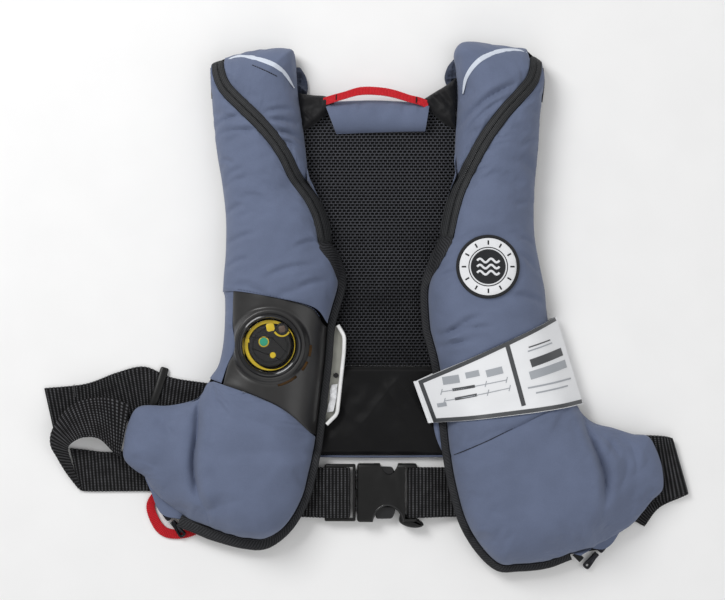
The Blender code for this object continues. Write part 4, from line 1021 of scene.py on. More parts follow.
def make_binding(lobe, side_name, line, looks):
    """A folded tape round the lobe's edge, with its row of stitches."""
    line = even(line, 330)
    base = lobe.edge(line[:, 0], line[:, 1])
    run = run_of(line)
    wide = 1 + 0.6 * smooth_step((75 - run) / 60)
    path = np.column_stack([line, base])
    if lobe.side < 0:
        low_part = smooth_step((run - run[-1] + 130) / 50)
        wide = wide + 0.52 * low_part
        path[:, :2] = offset_line(line, 1.8 * low_part * smooth_step((run[-1] - run) / 40))
    section = []
    for angle in np.linspace(0, 2 * math.pi, 25)[:-1]:
        half = math.copysign(abs(math.cos(angle)) ** 0.7, math.cos(angle)) * (BINDING_WIDTH / 2 + 0.1)
        high = math.copysign(abs(math.sin(angle)) ** 0.8, math.sin(angle)) * 2.7
        section.append((half, high))
    rings = bar_on(path, section)
    rings[..., :2] = path[:, None, :2] + (rings[..., :2] - path[:, None, :2]) * wide[:, None, None]
    above_path = rings[..., 2] - path[:, None, 2]
    sunk = 2.8 * smooth_step((20 - run) / 5)[:, None]
    banked = lobe.face(rings[..., 0], rings[..., 1]) + 0.9 + 0.5 * above_path - sunk
    bank = smooth_step((70 - run) / 22)[:, None]
    rings[..., 2] = rings[..., 2] * (1 - bank) + banked * bank
    ripple = 0.2 * np.sin(run * 2 * math.pi / 1.9)[:, None] * np.ones(len(section))
    rings[..., 2] += ripple + 0.35 * soft_noise(rings[..., 0], rings[..., 1], 7, 5)
    tape = tube(side_name + "_edge_tape", rings, looks["binding"])
    strap_coordinates(tape, np.arange(len(section))[None, :] * 0.95, run[:, None])
    place(tape, slot="charcoal_tape", nodes=(side_name + "_edge_binding",))
    seam = offset_line(line, lobe.side * 2.3)
    seam = np.column_stack([seam, path[:, 2] + 2.45])
    on_bank = lobe.face(seam[:, 0], seam[:, 1]) + 0.9 + 0.5 * 2.45
    seam[:, 2] += (on_bank - seam[:, 2]) * bank[:, 0]
    stitches(side_name + "_binding_stitches", seam[28:], looks["grey_thread"], 1.5, 1.4, 0.24)


def make_piping(lobe, side_name, points, looks):
    """A flat reflective strip that tapers into the seam at both ends."""
    line = smooth_line(points, 120)
    share = np.linspace(0, 1, 120)
    half = 2.5 * np.clip(np.sin(math.pi * np.clip(share * 0.96 + 0.03, 0, 1)), 0.08, 1) ** 0.6
    across = np.linspace(-1, 1, 7)
    plan = np.stack([offset_line(line, half * a) for a in across], axis=1)
    bulge = 0.5 * (1 - across ** 2)
    height = soften(lobe.cloth(plan[..., 0], plan[..., 1]), 4) + 0.5 + bulge
    upper = np.dstack([plan, height])
    place(closed_grid(side_name + "_reflective_strip", upper, upper - (0, 0, 1.1), looks["silver"]),
          slot="reflective_piping", nodes=(side_name + "_reflective_piping",))


def make_rear(lobe, side_name, edge_a, edge_b, looks):
    """The casing's back, which closes the lobe underneath."""
    plan = plan_between(edge_a, edge_b, 40, 110)
    x, y = plan[..., 0], plan[..., 1]
    low = lobe.under(x, y)
    sag = 0.5 * lobe.crown(x, y) * soft_noise(x, y, 26, 9)
    upper = np.dstack([x, y, low + REAR_THICK + np.maximum(sag, 0)])
    lower = np.dstack([x, y, low + np.maximum(sag, 0)])
    place(closed_grid(side_name + "_casing_back", upper, lower, looks["black_cloth"]), slot="rear_fabric",
          nodes=(side_name + "_rear_cover",), fill=0.5)


def make_flap(lobe, name, wing_part, flap_line, looks):
    """The blue under-layer that shows below the side wing."""
    plan = plan_between(even(wing_part, 40), even(flap_line, 40), 14)
    x, y = plan[..., 0], plan[..., 1]
    upper = np.dstack([x, y, lobe.under(x, y) + REAR_THICK + 1.0 + 0.5 * soft_noise(x, y, 9, 3)])
    place(closed_grid(name, upper, upper - (0, 0, 0.9), looks["blue"]), slot="slate_fabric", fill=0.2)


def upper_cover(lobe, name, outer, inner, hem, material):
    """The left lobe's upper cover, whose last row follows the bowed hem over the window panel."""
    rows, columns = 150, 80
    rolls = (1, 1, 1, 0.35)
    outer, inner = even(outer[:, :2], rows), even(inner[:, :2], rows)
    plan = four_sided(np.linspace(outer[0], inner[0], columns), even(hem, columns), outer, inner)
    x, y = plan[..., 0], plan[..., 1]
    upper = np.dstack([x, y, lobe.skin(x, y)])
    sides = side_distances(upper)
    upper = upper + settled(upper, lobe.seed + 3)
    hem_roll = 0.9 * smooth_step((9 - sides[3]) / 6)
    gather = seam_puckers((outer, inner), sides, rolls, 57)
    upper[..., 2] += 0.7 - seam_drop(sides, rolls) + gather + hem_roll
    finish_cover(lobe, name, plan, upper, material, ("left_upper_cover",))


def make_outer_edging(side_name, outer, bottom, looks):
    """The thin dark edging on the upper part of the lobe's outer side."""
    line = outer[(outer[:, 1] <= OUTER_EDGING_TOP) & (outer[:, 1] >= bottom), :2]
    line = np.column_stack([even(line, 40), np.full(40, EDGE_HEIGHT - 0.6)])
    place(tube(side_name + "_outer_edging", bar_on(line, round_section(0.9, 1.0)), looks["binding"]),
          slot="charcoal_tape")


def on_cloth(lobe, line, lift):
    """Plan points laid on the lobe's settled cover, lifted by an amount."""
    return np.column_stack([line[:, :2], lobe.cloth(line[:, 0], line[:, 1]) + lift])


def edge_lines(zip_points, binding_points, side):
    """The zip and binding of a lobe, and the lines beside them that its pieces meet."""
    zip_line, binding = smooth_line(zip_points, 60), smooth_line(binding_points, 110)
    half_zip = side * (ZIP_WIDTH + SEAM_GAP) / 2
    zip_neck, zip_cover = offset_line(zip_line, -half_zip), offset_line(zip_line, half_zip)
    join = offset_line(binding, side * (BINDING_WIDTH / 2 + 0.2))
    return zip_line, binding, zip_neck, zip_cover, banked_edge(binding, side), join


def make_left_lobe(looks):
    zip_line, binding, zip_neck, zip_cover, binding_in, join = edge_lines(LEFT_ZIP, LEFT_BINDING, -1)
    neck, outer = smooth_line(LEFT_NECK, 60), smooth_line(LEFT_OUTER, 60)
    gusset, wing = smooth_line([(-144.6, 17.5)] + LEFT_GUSSET_OUTER[1:], 30), smooth_line(LEFT_WING, 60)
    valley = smooth_line(LEFT_VALLEY, 60)
    outline = np.vstack([neck, zip_neck[42:], binding_in, wing[::-1], gusset[::-1], outer[::-1]])
    lobe = Lobe(outline, valley, -1, LEFT_CREASES, 11)
    blue = looks["blue"]

    inner = np.vstack([zip_cover[2:], join[join[:, 1] > LEFT_HEM_LINE[-1][1] + 1][2:]])
    hem = smooth_line(LEFT_HEM_LINE, 60)
    upper_cover(lobe, "left_upper_skin", outer, smooth_line(inner, 90), hem, blue)
    cover(lobe, "left_neck_skin", [zip_neck[2:50], neck[:-1]], blue, ("left_neck_cover",), 130, (56,))
    lower_top = smooth_line(LEFT_LOWER_TOP, 40)
    below = join[(join[:, 1] < LEFT_LOWER_TOP[-1][1] - 2) & ((join[:, 0] > -151) | (join[:, 1] > -200))]
    cover(lobe, "left_lower_skin", [wing[1:], valley, np.vstack([lower_top[2:], below])], blue,
          ("left_lower_cover", "left_side_wing"), 150, (60, 90))
    window_side = offset_line(smooth_line([(-131.0, 18.5)] + LEFT_WINDOW_EDGE[1:], 40), -SEAM_GAP)
    cover(lobe, "left_gusset_skin", [gusset, window_side], blue, ("left_side_gusset",), 70, (18,),
          height=lambda x, y: lobe.top(x, y) - 0.4, settle=False)
    make_zip(lobe, "left", zip_line, looks)
    make_binding(lobe, "left", np.vstack([zip_line[-5:-1], binding, [(-183, -219), (-189, -216)]]), looks)
    make_piping(lobe, "left", LEFT_PIPING, looks)
    flap = smooth_line([(-224, -174)] + LEFT_REAR_FLAP + [(-178, -217)], 30)
    make_flap(lobe, "left_under_flap", wing[wing[:, 1] < -168] + (3, 3), flap, looks)
    rear_outer = np.vstack([outer, gusset, wing[:-14], smooth_line(LEFT_REAR_FLAP, 20)]) + (1.0, 0)
    make_rear(lobe, "left", rear_outer, np.vstack([neck[::2], zip_neck[44:], binding_in]), looks)
    make_outer_edging("left", outer, 207, looks)
    seam_mark = on_cloth(lobe, smooth_line([(-113, 240.5), (-103, 236), (-88, 229)], 30), 0.7)
    stitches("left_seam_mark", seam_mark, looks["dark_thread"], 1.6, 0.9, 0.45)
    sewn = on_cloth(lobe, hem[5:-4] + (0.9, 3.0), 0.75)
    stitches("left_hem_stitches", sewn, looks["thread"], 2.2, 1.2, 0.22, slot="slate_fabric")
    return lobe, join


def make_right_lobe(looks):
    zip_line, binding, zip_neck, zip_cover, binding_in, join = edge_lines(RIGHT_ZIP, RIGHT_BINDING, 1)
    neck, outer = smooth_line(RIGHT_NECK, 60), smooth_line(RIGHT_OUTER, 70)
    wing, valley = smooth_line(RIGHT_WING, 60), smooth_line(RIGHT_VALLEY, 60)
    outline = np.vstack([neck, zip_neck[42:], binding_in, wing[::-1], outer[::-1]])
    lobe = Lobe(outline, valley, 1, RIGHT_CREASES, 23)
    blue = looks["blue"]

    seam_in, seam_out = np.array(RIGHT_SEAM)
    under_pocket = np.array((0.8, -3.4))
    to_seam = join[join[:, 1] > seam_in[1] + 1]
    inner = np.vstack([zip_cover[2:], to_seam[2:], [seam_in + under_pocket]])
    upper_outer = smooth_line(RIGHT_OUTER[:-1] + [tuple(seam_out + under_pocket)], 80)
    cover(lobe, "right_upper_skin", [upper_outer, smooth_line(inner, 120)], blue, ("right_upper_cover",), 210,
          (84,), sink=1.2)
    cover(lobe, "right_neck_skin", [zip_neck[2:50], neck[:-1]], blue, ("right_neck_cover",), 130, (56,))
    below = np.vstack([[seam_in - (0, 0.4)], join[join[:, 1] < seam_in[1] - 1.5]])
    fold = np.vstack([[seam_out - (-0.5, 0.4)], valley[2:]])
    side = np.vstack([[(209.6, -92)], wing[1:]])
    cover(lobe, "right_lower_skin", [side, fold, below], blue, ("right_lower_cover", "right_side_wing"), 150,
          (60, 90), (1, 1, 0.3, 1))
    make_zip(lobe, "right", zip_line, looks)
    make_binding(lobe, "right", np.vstack([zip_line[-5:-1], binding]), looks)
    make_piping(lobe, "right", RIGHT_PIPING, looks)
    make_flap(lobe, "right_under_flap", wing[wing[:, 1] < -218] + (-3, 3),
              smooth_line([(262, -224)] + RIGHT_REAR_FLAP, 30), looks)
    rear_outer = np.vstack([outer, wing[:-6], smooth_line(RIGHT_REAR_FLAP, 20)]) - (1.0, 0)
    make_rear(lobe, "right", rear_outer, np.vstack([neck[::2], zip_neck[44:], binding_in]), looks)
    make_outer_edging("right", outer, 205, looks)
    make_inner_fold(blue)
    # A thin dark bead along the pocket seam: painted shadow under the pocket's top edge.
    edge = on_cloth(lobe, np.linspace(seam_in, seam_out, 90)[2:-2] + (-0.2, 0.5), -0.15)
    place(tube("right_pocket_painted_shadow", bar_on(edge, round_section(0.6, 0.5)), looks["dark_thread"]),
          slot="slate_fabric")
    sewn = on_cloth(lobe, np.linspace(seam_in, seam_out, 60)[3:-3] + (0.9, -3.2), 0.55)
    stitches("right_pocket_stitches", sewn, looks["thread"], 2.2, 1.2, 0.22, slot="slate_fabric")
    return lobe


def make_inner_fold(material):
    """The crumpled bit of blue cloth that shows beside the right binding."""
    plan = plan_between(smooth_line([(70, -106), (68.5, -118), (71, -132), (77, -146), (83, -151)], 60),
                        smooth_line([(79, -106), (80, -118), (81.5, -132), (83, -143), (84, -150)], 60), 24)
    x, y = plan[..., 0], plan[..., 1]
    swell = rounded(boundary_distance(np.dstack([x, y, 0 * x])), 4)
    crumple = 3.0 * (0.3 - np.abs(soft_noise(x - 0.5 * y, y, 9, 41)))
    upper = np.dstack([x, y, 9.5 + (3.6 + crumple) * swell])
    lower = np.dstack([x, y, 9.0 + 0 * x])
    place(closed_grid("right_inner_fold", upper, lower, material), slot="slate_fabric", fill=0.4)


# ---------------------------------------------------------------- window and inflator

def four_sided(top, bottom, left, right):
    """Plan points blended between four boundary lines (a Coons patch)."""
    v = np.linspace(0, 1, len(left))[:, None, None]
    u = np.linspace(0, 1, len(top))[None, :, None]
    across = (1 - v) * top[None] + v * bottom[None]
    down = (1 - u) * left[:, None] + u * right[:, None]
    corners = ((1 - u) * (1 - v) * top[0] + u * (1 - v) * top[-1]
               + (1 - u) * v * bottom[0] + u * v * bottom[-1])
    return across + down - corners


def window_top(lobe):
    return float(lobe.top(np.array(INFLATOR_CENTRE[0]), np.array(INFLATOR_CENTRE[1])))


def window_plan(join):
    """The window panel's plan, between the two covers, the gusset and the binding."""
    bottom_line = offset_line(smooth_line(LEFT_LOWER_TOP, 60), 0.3)
    bottom = bottom_line[(bottom_line[:, 0] > -143.5) & (bottom_line[:, 0] < -51.5)]
    hem = smooth_line(LEFT_HEM_LINE, 200)
    hem = hem[hem[:, 0] > -133.5] + (0, 3.5)
    span = join[(join[:, 1] < hem[-1][1] - 1) & (join[:, 1] > bottom[-1][1] + 2)]
    right = even(np.vstack([span, [bottom[-1] + (2.0, 0)]]), 110)
    bottom = even(np.vstack([bottom[:-1], [right[-1]]]), 110)
    top = even(np.vstack([hem[:-1], right[:1]]), 110)
    left = smooth_line([tuple(top[0])] + LEFT_WINDOW_EDGE[1:-1] + [tuple(bottom[0])], 110)
    return four_sided(top, bottom, left, right)


def make_window(lobe, join, looks):
    """The moulded panel round the inflator, with its round hole, collar and three vent slots."""
    cx, cy = INFLATOR_CENTRE
    plan = window_plan(join)
    x, y = plan[..., 0], plan[..., 1]
    radius = np.hypot(x - cx, y - cy)
    level = window_top(lobe)
    collar = smooth_step((40 - radius) / 6.0)
    height = lobe.top(x, y) * (1 - collar) + (level + 1.2) * collar
    height += 0.8 * np.exp(-((radius - 34.0) / 2.0) ** 2) - 0.8 * np.exp(-((radius - 37.8) / 1.8) ** 2)
    height += 0.5 * soft_noise(x, y, 30, 3)
    away = boundary_distance(np.dstack([x, y, height]))
    height -= 0.9 * np.exp(-away / 1.2) + 0.4
    upper = np.dstack([x, y, height])
    panel = closed_grid("window_moulding", upper, upper - (0, 0, 2.0), looks["panel"])
    cutters = [turned("hole_cutter", [(0, 20), (WINDOW_HOLE_RADIUS, 20), (WINDOW_HOLE_RADIUS, 80), (0, 80)],
                      INFLATOR_CENTRE, looks["panel"], 96)]
    for number, degrees, half in ((0, -8, 8.0), (1, -31, 7.0), (2, -64, 14.5)):
        line = arc(INFLATOR_CENTRE, VENT_RADIUS, 50.0, np.radians(np.linspace(-half, half, 13) + degrees))
        section = [(-1.2, -30), (1.2, -30), (1.2, 30), (-1.2, 30)]
        cutters.append(tube("slot_cutter_%d" % number, bar_on(line, section), looks["panel"]))
    place(combined(panel, cutters), slot="black_moulding", nodes=("window_panel",))
    line = above(lobe, arc(INFLATOR_CENTRE, VENT_RADIUS, 0, np.radians(np.linspace(-84, 4, 40))), -5.5)
    place(tube("vent_liner", bar_on(line, round_section(3.4, 1.2)), looks["amber"]), slot="yellow_moulding")


def make_inflator(lobe, looks):
    level = window_top(lobe)
    r, w = WINDOW_HOLE_RADIUS, WINDOW_RING_RADIUS
    ring = [(r + 0.4, level - 0.6), (r + 0.4, level + 2.2), (r + 1.0, level + 3.2), (r + 2.0, level + 3.6),
            (r + 3.2, level + 3.3), (w - 0.4, level + 2.4), (w, level + 1.4), (w, level - 0.6)]
    place(turned("window_bezel", ring[::-1], INFLATOR_CENTRE, looks["gloss"], 128), slot="black_moulding",
          nodes=("window_ring",))
    lens = [(0, level - 0.5)] + [(k * 2.66, level - 0.5) for k in (5, 10)]
    lens += [((r - 0.4) * math.cos(a), level + 2.4 * math.sin(a)) for a in np.linspace(0, 1.4, 12)]
    lens += [(0, level + 2.4)]
    place(turned("window_dome", lens, INFLATOR_CENTRE, looks["clear"], 128), slot="clear_window",
          nodes=("window_lens",))
    make_inflator_face(level, looks)


def disc(name, centre, radius, low, high, material, slot="dark_cap", nodes=()):
    """A flat button with a chamfered rim."""
    edge, flat = high - DISC_CHAMFER, radius - DISC_CHAMFER
    profile = [(0, low), (radius, low), (radius, edge), (flat, high), (0, high)]
    place(turned(name, profile, centre, material, 64), slot=slot, nodes=nodes)


def make_inflator_face(level, looks):
    """The inflator's cap and the small features on its face."""
    cx, cy = INFLATOR_CENTRE
    face = level - 3.4
    cap = [(0, level - 11.9), (21.3, level - 11.9), (21.3, face - 1.0), (20.4, face - 0.2), (17.6, face),
           (17.2, face - 0.5), (16.6, face - 0.5), (16.2, face), (0, face)]
    place(turned("inflator_face", cap, INFLATOR_CENTRE, looks["face"], 96), slot="dark_cap",
          nodes=("inflator_cap",))
    make_lock_ring(level, looks["yellow"])

    spot, knob = (cx - 6, cy + 3.5), (cx + 12.2, cy + 16.2)
    disc("indicator_ring", spot, 5.3, face - 0.6, face + 0.35, looks["yellow"], slot="yellow_moulding")
    disc("indicator_dot", spot, 4.2, face + 0.4, face + 0.9, looks["green"], slot="green_indicator",
         nodes=("status_indicator",))
    disc("round_knob", knob, 6.2, face - 0.6, face + 1.5, looks["face"])
    disc("yellow_dot", (cx + 3.0, cy - 9.8), 3.0, face - 0.5, face + 0.5, looks["yellow"],
         slot="yellow_moulding")
    square_button("yellow_square", (cx + 0.5, cy + 18.0), 3.7, face - 0.4, looks["yellow"], "yellow_moulding")
    square_button("brown_square", knob, 3.0, face + 1.5, looks["brown"], "dark_cap")
    line = arc((cx + 12, cy + 17.5), 8.2, face + 0.3, np.radians(np.linspace(210, 330, 24)))
    place(tube("yellow_arc", bar_on(line, round_section(1.0, 0.5)), looks["yellow"]), slot="yellow_moulding")
    ribs = []
    for start, end in (((-19, 8), (4, 7.5)), ((2, 7.5), (16, -6.5)), ((-18, -3), (8, -13)),
                       ((-4, -8), (14, -16))):
        line = np.array([(*start, 0), (*end, 0)], float) + (cx, cy, face + 0.15)
        ribs.append(bar_on(even(line, 4), round_section(0.35, 0.3, 6)))
    place(many_tubes("face_ribs", ribs, looks["gloss"]), slot="dark_cap")


def make_lock_ring(level, material):
    """The yellow ring round the cap, broad on one side, with its small tab."""
    angles = full_turn(96)
    facing = 0.5 + 0.5 * np.cos(angles - math.radians(155))
    inner = 24.4 - 2.6 * smooth_step((facing - 0.12) / 0.6)
    low, shoulder, high = level - 13, level - 4.4, level - 4.0
    section = ((25.3, low), (25.3, shoulder), (24.9, high), (inner + 0.3, high), (inner, shoulder),
               (inner, low))
    loops = np.array([arc(INFLATOR_CENTRE, radius, height, angles) for radius, height in section])
    ring = closed_band("yellow_lock_ring", loops, material, 35)
    place(ring, "locking_ring", "yellow_moulding", ("lock_ring",))
    tab = np.array([[-24.6, 3.4], [-20.4, 2.6], [-20.4, 6.2], [-24.4, 6.6]]) + INFLATOR_CENTRE
    rings = np.array([np.column_stack([tab, np.full(4, z)]) for z in (level - 5.0, level - 3.3)])
    place(tube("lock_ring_tab", rings, material), "locking_ring", "yellow_moulding")


def square_button(name, middle, half, base, material, slot):
    """A small turned square with cut corners and a chamfered top."""
    turn = np.radians(np.array([33, 57, 123, 147, 213, 237, 303, 327]) + 12)
    levels = ((1.0, base), (1.0, base + 0.7), (0.86, base + 1.0))
    rings = np.array([arc(middle, half * 1.3 * share, height, turn) for share, height in levels])
    place(tube(name, rings, material), slot=slot)


# ---------------------------------------------------------------- tray beside the window

def make_tray(looks):
    corners = [(-28.5, -18.5), (-21.8, -29.5), (-22.2, -45), (-29.2, -108.5), (-39.8, -119)]
    rim = rounded_line(corners, 4.0, 120)
    path = np.column_stack([rim, np.full(120, 12.6)])
    section = [(-1.9, -4.6), (1.9, -4.6), (2.0, 1.6), (1.5, 2.6), (0.4, 2.9), (-1.1, 2.5), (-1.8, 1.6)]
    place(tube("tray_rim", bar_on(path, section), looks["white"], 60), slot="white_moulding",
          nodes=("inflator_tray",))
    back = rim * (0, 1) + (-62, 0)
    plan = between(back, offset_line(rim, -2.0), np.linspace(0, 1, 30))
    dish = 8.4 + 0.5 * np.sin(np.linspace(0, math.pi, 30))[None, :] + 0 * plan[..., 0]
    upper = np.dstack([plan, dish])
    # The floor is grey: painted shade inside the tray.
    place(closed_grid("tray_floor", upper, upper - (0, 0, 0.8), looks["white_in_painted_shade"]), slot="white_moulding")
    ribs = [((-35, -79, 9.3), (-28.7, -78, 12.5)), ((-36.5, -85, 10.6), (-29.6, -85, 11.2)),
            ((-37, -92, 9.2), (-30.0, -92, 12.2)), ((-38, -99, 10.8), (-31.3, -99, 10.8)),
            ((-39.8, -107, 9.6), (-33.2, -106, 12.4))]
    edge_a = smooth_line([rib[0] for rib in ribs], 40)
    edge_b = smooth_line([rib[1] for rib in ribs], 40)
    sheet = between(edge_a, edge_b, np.linspace(0, 1, 14))
    sheet[..., 2] += 1.1 * soft_noise(sheet[..., 0], sheet[..., 1], 3.0, 41)
    place(closed_grid("crumpled_label", sheet, sheet - (0, 0, 0.3), looks["card"], 25), slot="white_card",
          nodes=("tray_label",))
    knob = [(0, 8.6), (2.6, 8.6), (2.6, 9.4), (1.8, 9.7), (0, 9.7)]
    place(turned("tray_hole", knob, (-30.5, -69.5), looks["gloss"], 32), slot="dark_cap")


# ---------------------------------------------------------------- back panel and shoulders

def make_mesh_pad(looks):
    """The back's spacer mesh, with rows of staggered holes."""
    left = smooth_line([(-62, 203), (-72, 150), (-88, 90), (-92, 20), (-92, -60)], 360)
    right = smooth_line([(90, 203), (100, 150), (116, 90), (120, 20), (120, -60)], 360)
    plan = between(left, right, np.linspace(0, 1, 300))
    x, y = plan[..., 0], plan[..., 1]
    bank = 3.2 * smooth_step((y - 120) / 80) + 1.2 * soft_noise(x, y, 45, 61)
    row = np.floor(y / MESH_ROW)
    shift = np.where(row % 2 == 0, MESH_CELL / 2, 0)
    in_x = ((x + shift) / MESH_CELL % 1 - 0.5) * MESH_CELL
    in_y = (y / MESH_ROW % 1 - 0.5) * MESH_ROW
    hole = smooth_step(1.4 - np.hypot(in_x / 1.9, in_y / 1.25))
    edge = smooth_step(boundary_distance(np.dstack([x, y, 0 * x])) / 3)
    upper = np.dstack([x, y, 7.2 + bank * edge - 2.3 * hole * edge - 2.5 * (1 - edge)])
    lower = np.dstack([x, y, 0.25 * (1 - edge) + 0 * x])
    place(closed_grid("mesh_pad", upper, lower, looks["mesh"], 70), slot="black_mesh",
          nodes=("back_mesh_panel",), fill=0.5)


def make_lower_lining(looks):
    """The crumpled black lining under the mesh, and its hem."""
    left = smooth_line([(-92, -60.6), (-90, -110), (-84, -151)], 130)
    right = smooth_line([(120, -60.6), (118, -110), (112, -151)], 130)
    plan = between(left, right, np.linspace(0, 1, 200))
    x, y = plan[..., 0], plan[..., 1]
    slant = x - 0.75 * (y + 60)
    ridge = np.abs(soft_noise(slant, y * 0.3, 27, 8))
    ridge += 0.35 * np.abs(soft_noise(x + 0.6 * y, y * 0.4, 19, 14))
    folds = 4.2 * (0.45 - ridge) + 0.3 * soft_noise(x, y, 9, 4)
    folds *= smooth_step((-62 - y) / 20) * smooth_step((y + 152) / 22)
    upper = np.dstack([x, y, 5.0 + folds])
    edge = smooth_step(boundary_distance(upper) / 5)
    upper[..., 2] = np.maximum(4.6 + (folds + 0.6) * edge - 1.5 * (1 - edge), 1.4)
    lower = upper * (1, 1, 0) + (0, 0, 0.02)
    piece = closed_grid("lower_lining_cloth", upper, lower, looks["satin"])
    place(piece, slot="black_satin", nodes=("back_lower_lining",), fill=0.3)
    hem = smooth_line([(-84, -151.6), (14, -152.6), (112, -151.6)], 90)
    hem = np.column_stack([hem, np.full(90, 3.4)])
    place(tube("lower_lining_edging", bar_on(hem, round_section(1.1, 2.2)), looks["thread"]),
          slot="slate_fabric")


def make_yoke(looks):
    """The rolled yoke behind the neck, gathered at its top."""
    lower = smooth_line([(-30, 175.5), (0, 176.5), (30, 177.5), (60, 178)], 120)
    upper = smooth_line([(-42, 206), (-26, 208.5), (0, 209.5), (25, 209), (50, 206.5), (64, 203)], 120)
    plan = plan_between(lower, upper, 60)
    x, y = plan[..., 0], plan[..., 1]
    share = np.clip((y - 176) / 33, 0, 1)
    puff = 14.0 * np.sqrt(np.maximum(1 - (2 * share - 1) ** 2, 0.02))
    gather = 0.7 * soft_noise(x, y * 0.25, 5.5, 15) * smooth_step((share - 0.45) / 0.5)
    puff += (0.8 * soft_noise(x, y, 14, 15) + 2.2 * gather) * np.minimum(puff / 10, 1)
    top = np.dstack([x, y, 8.0 + puff])
    low = np.dstack([x, y, 7.6 + 0 * x])
    place(closed_grid("yoke_roll", top, low, looks["blue"]), slot="slate_fabric", nodes=("back_yoke",),
          fill=0.7)


def make_back_shoulders(looks):
    """The crumpled cloth that carries each lobe over the shoulder."""
    for name, node, edge_a, edge_b in (
            ("left_back_shoulder_pad", "left_back_shoulder",
             [(-83, 120), (-74, 150), (-63.5, 203), (-61, 213), (-59, 224), (-61.5, 235), (-67, 244)],
             [(-112, 120), (-132, 150), (-142, 190), (-146, 205), (-147, 220), (-146, 235), (-140, 244)]),
            ("right_back_shoulder_pad", "right_back_shoulder",
             [(111, 120), (102, 150), (91.5, 203), (83.5, 222), (80, 233), (83, 244), (89, 252)],
             [(132, 120), (150, 150), (162, 190), (166, 205), (168, 220), (168, 236), (160, 250)])):
        plan = plan_between(smooth_line(edge_a, 160), smooth_line(edge_b, 160), 80)
        x, y = plan[..., 0], plan[..., 1]
        swell = rounded(boundary_distance(np.dstack([x, y, 0 * x])), 9)
        high = smooth_step((y - 200) / 16)
        crumple = 8.5 * (0.25 - np.abs(soft_noise(x * 0.5 + y * 0.4, y, 6.0, 21)))
        crumple += 3.4 * (0.3 - np.abs(soft_noise(x, y * 0.8, 3.4, 22)))
        top = np.dstack([x, y, 3.6 + (3.6 + high * (4.5 + crumple)) * swell])
        low = np.dstack([x, y, 3.4 - 3.1 * swell])
        # The pads take the darker copy of the blue: painted shade.
        place(closed_grid(name, top, low, looks["painted_shade_blue"]), slot="slate_fabric", nodes=(node,), fill=0.6)


def make_shoulder_linings(looks):
    """The creased black lining on both sides of the yoke."""
    for name, node, low_line, high_line, seed in (
            ("left_shoulder_cloth", "left_shoulder_lining", [(-66, 178), (-56, 183), (-43, 193), (-30, 205)],
             [(-68, 217), (-55, 215), (-42, 214), (-33, 211)], 31),
            ("right_shoulder_cloth", "right_shoulder_lining", [(56, 207), (64, 199), (78, 187), (91, 180)],
             [(59, 211), (70, 218), (80, 224), (92, 233)], 37)):
        plan = plan_between(smooth_line(low_line, 90), smooth_line(high_line, 90), 90)
        x, y = plan[..., 0], plan[..., 1]
        swell = rounded(boundary_distance(np.dstack([x, y, 0 * x])), 7)
        folds = 3.4 * (0.4 - np.abs(soft_noise(x + y, (x - y) * 0.35, 10, seed)))
        folds += 0.6 * soft_noise(x, y, 4, seed)
        top = np.dstack([x, y, 9 + (10.5 + folds) * swell])
        low = np.dstack([x, y, 7.6 + 0 * x])
        place(closed_grid(name, top, low, looks["shoulder"]), slot="black_satin", nodes=(node,), fill=0.5)


def make_grab_loop(looks):
    """The red strap along the top of the yoke, sewn down near both ends."""
    ribs = [((-43, 203, 18.5), (-43, 211, 19)), ((-34, 205.5, 22.5), (-34, 213.5, 22.5)),
            ((-22, 209, 24.5), (-22, 216.5, 25)), ((-6, 213, 25.5), (-6, 221, 26)),
            ((12, 213, 25.5), (12, 221, 26)), ((28, 210.5, 24.5), (28, 218.5, 25)),
            ((44, 206, 23), (44, 213.5, 23.5)), ((54, 203.5, 22), (55, 211, 22)),
            ((62, 200, 18.5), (63, 208, 18.5))]
    webbing("grab_loop", ribs, looks["red"], "red_webbing", ("grab_strap",), thickness=2.0, pitch=1.5,
            relief=0.3, columns=11, step=0.3)
    for name, x, y in (("left_bartack", -30, 211.2), ("right_bartack", 50.5, 208.6)):
        line = np.array([(x, y - 2.6, 24.4), (x + 0.4, y + 2.6, 24.6)])
        stitches(name, line, looks["dark_thread"], 0.9, 0.25, 0.7)


# ---------------------------------------------------------------- webbing

def webbing(name, ribs, material, slot, nodes, thickness=WEBBING_THICK, pitch=RIB_PITCH, relief=0.4,
            body=JACKET, columns=15, step=0.45):
    """A strap through ribs, each a pair of 3D points on its edges, woven in cross ribs."""
    edges = np.array([curve_through([rib[side] for rib in ribs], 40) for side in (0, 1)])
    run = (run_of(edges[0]) + run_of(edges[1])) / 2
    rows = int(run[-1] / step)
    wanted = np.linspace(0, run[-1], rows)
    edge_a, edge_b = (np.column_stack([np.interp(wanted, run, edge[:, k]) for k in range(3)])
                      for edge in edges)
    ridge = np.abs(np.sin(math.pi * wanted / pitch))
    out = edge_b - edge_a
    out /= np.linalg.norm(out, axis=1)[:, None]
    swell = (WEBBING_SCALLOP * (ridge - 0.5))[:, None] * out
    edge_a, edge_b = edge_a - swell, edge_b + swell
    across = np.linspace(0, 1, columns)
    middle = between(edge_a, edge_b, across)
    normal = np.cross(np.gradient(middle, axis=0), (edge_b - edge_a)[:, None] + 0 * middle)
    normal /= np.linalg.norm(normal, axis=2)[..., None]
    side = np.clip(np.minimum(across, 1 - across) * 24, 0, 1)[None, :] ** 0.5
    half = thickness / 2 * (0.55 + 0.45 * side) - relief * (1 - ridge[:, None]) * side
    half = half[..., None]
    item = closed_grid(name, middle + normal * half, middle - normal * half, material, 60)
    width = np.linalg.norm(edge_b - edge_a, axis=1).mean()
    strap_coordinates(item, across[None, :] * width, wanted[:, None])
    return place(item, body, slot, nodes)


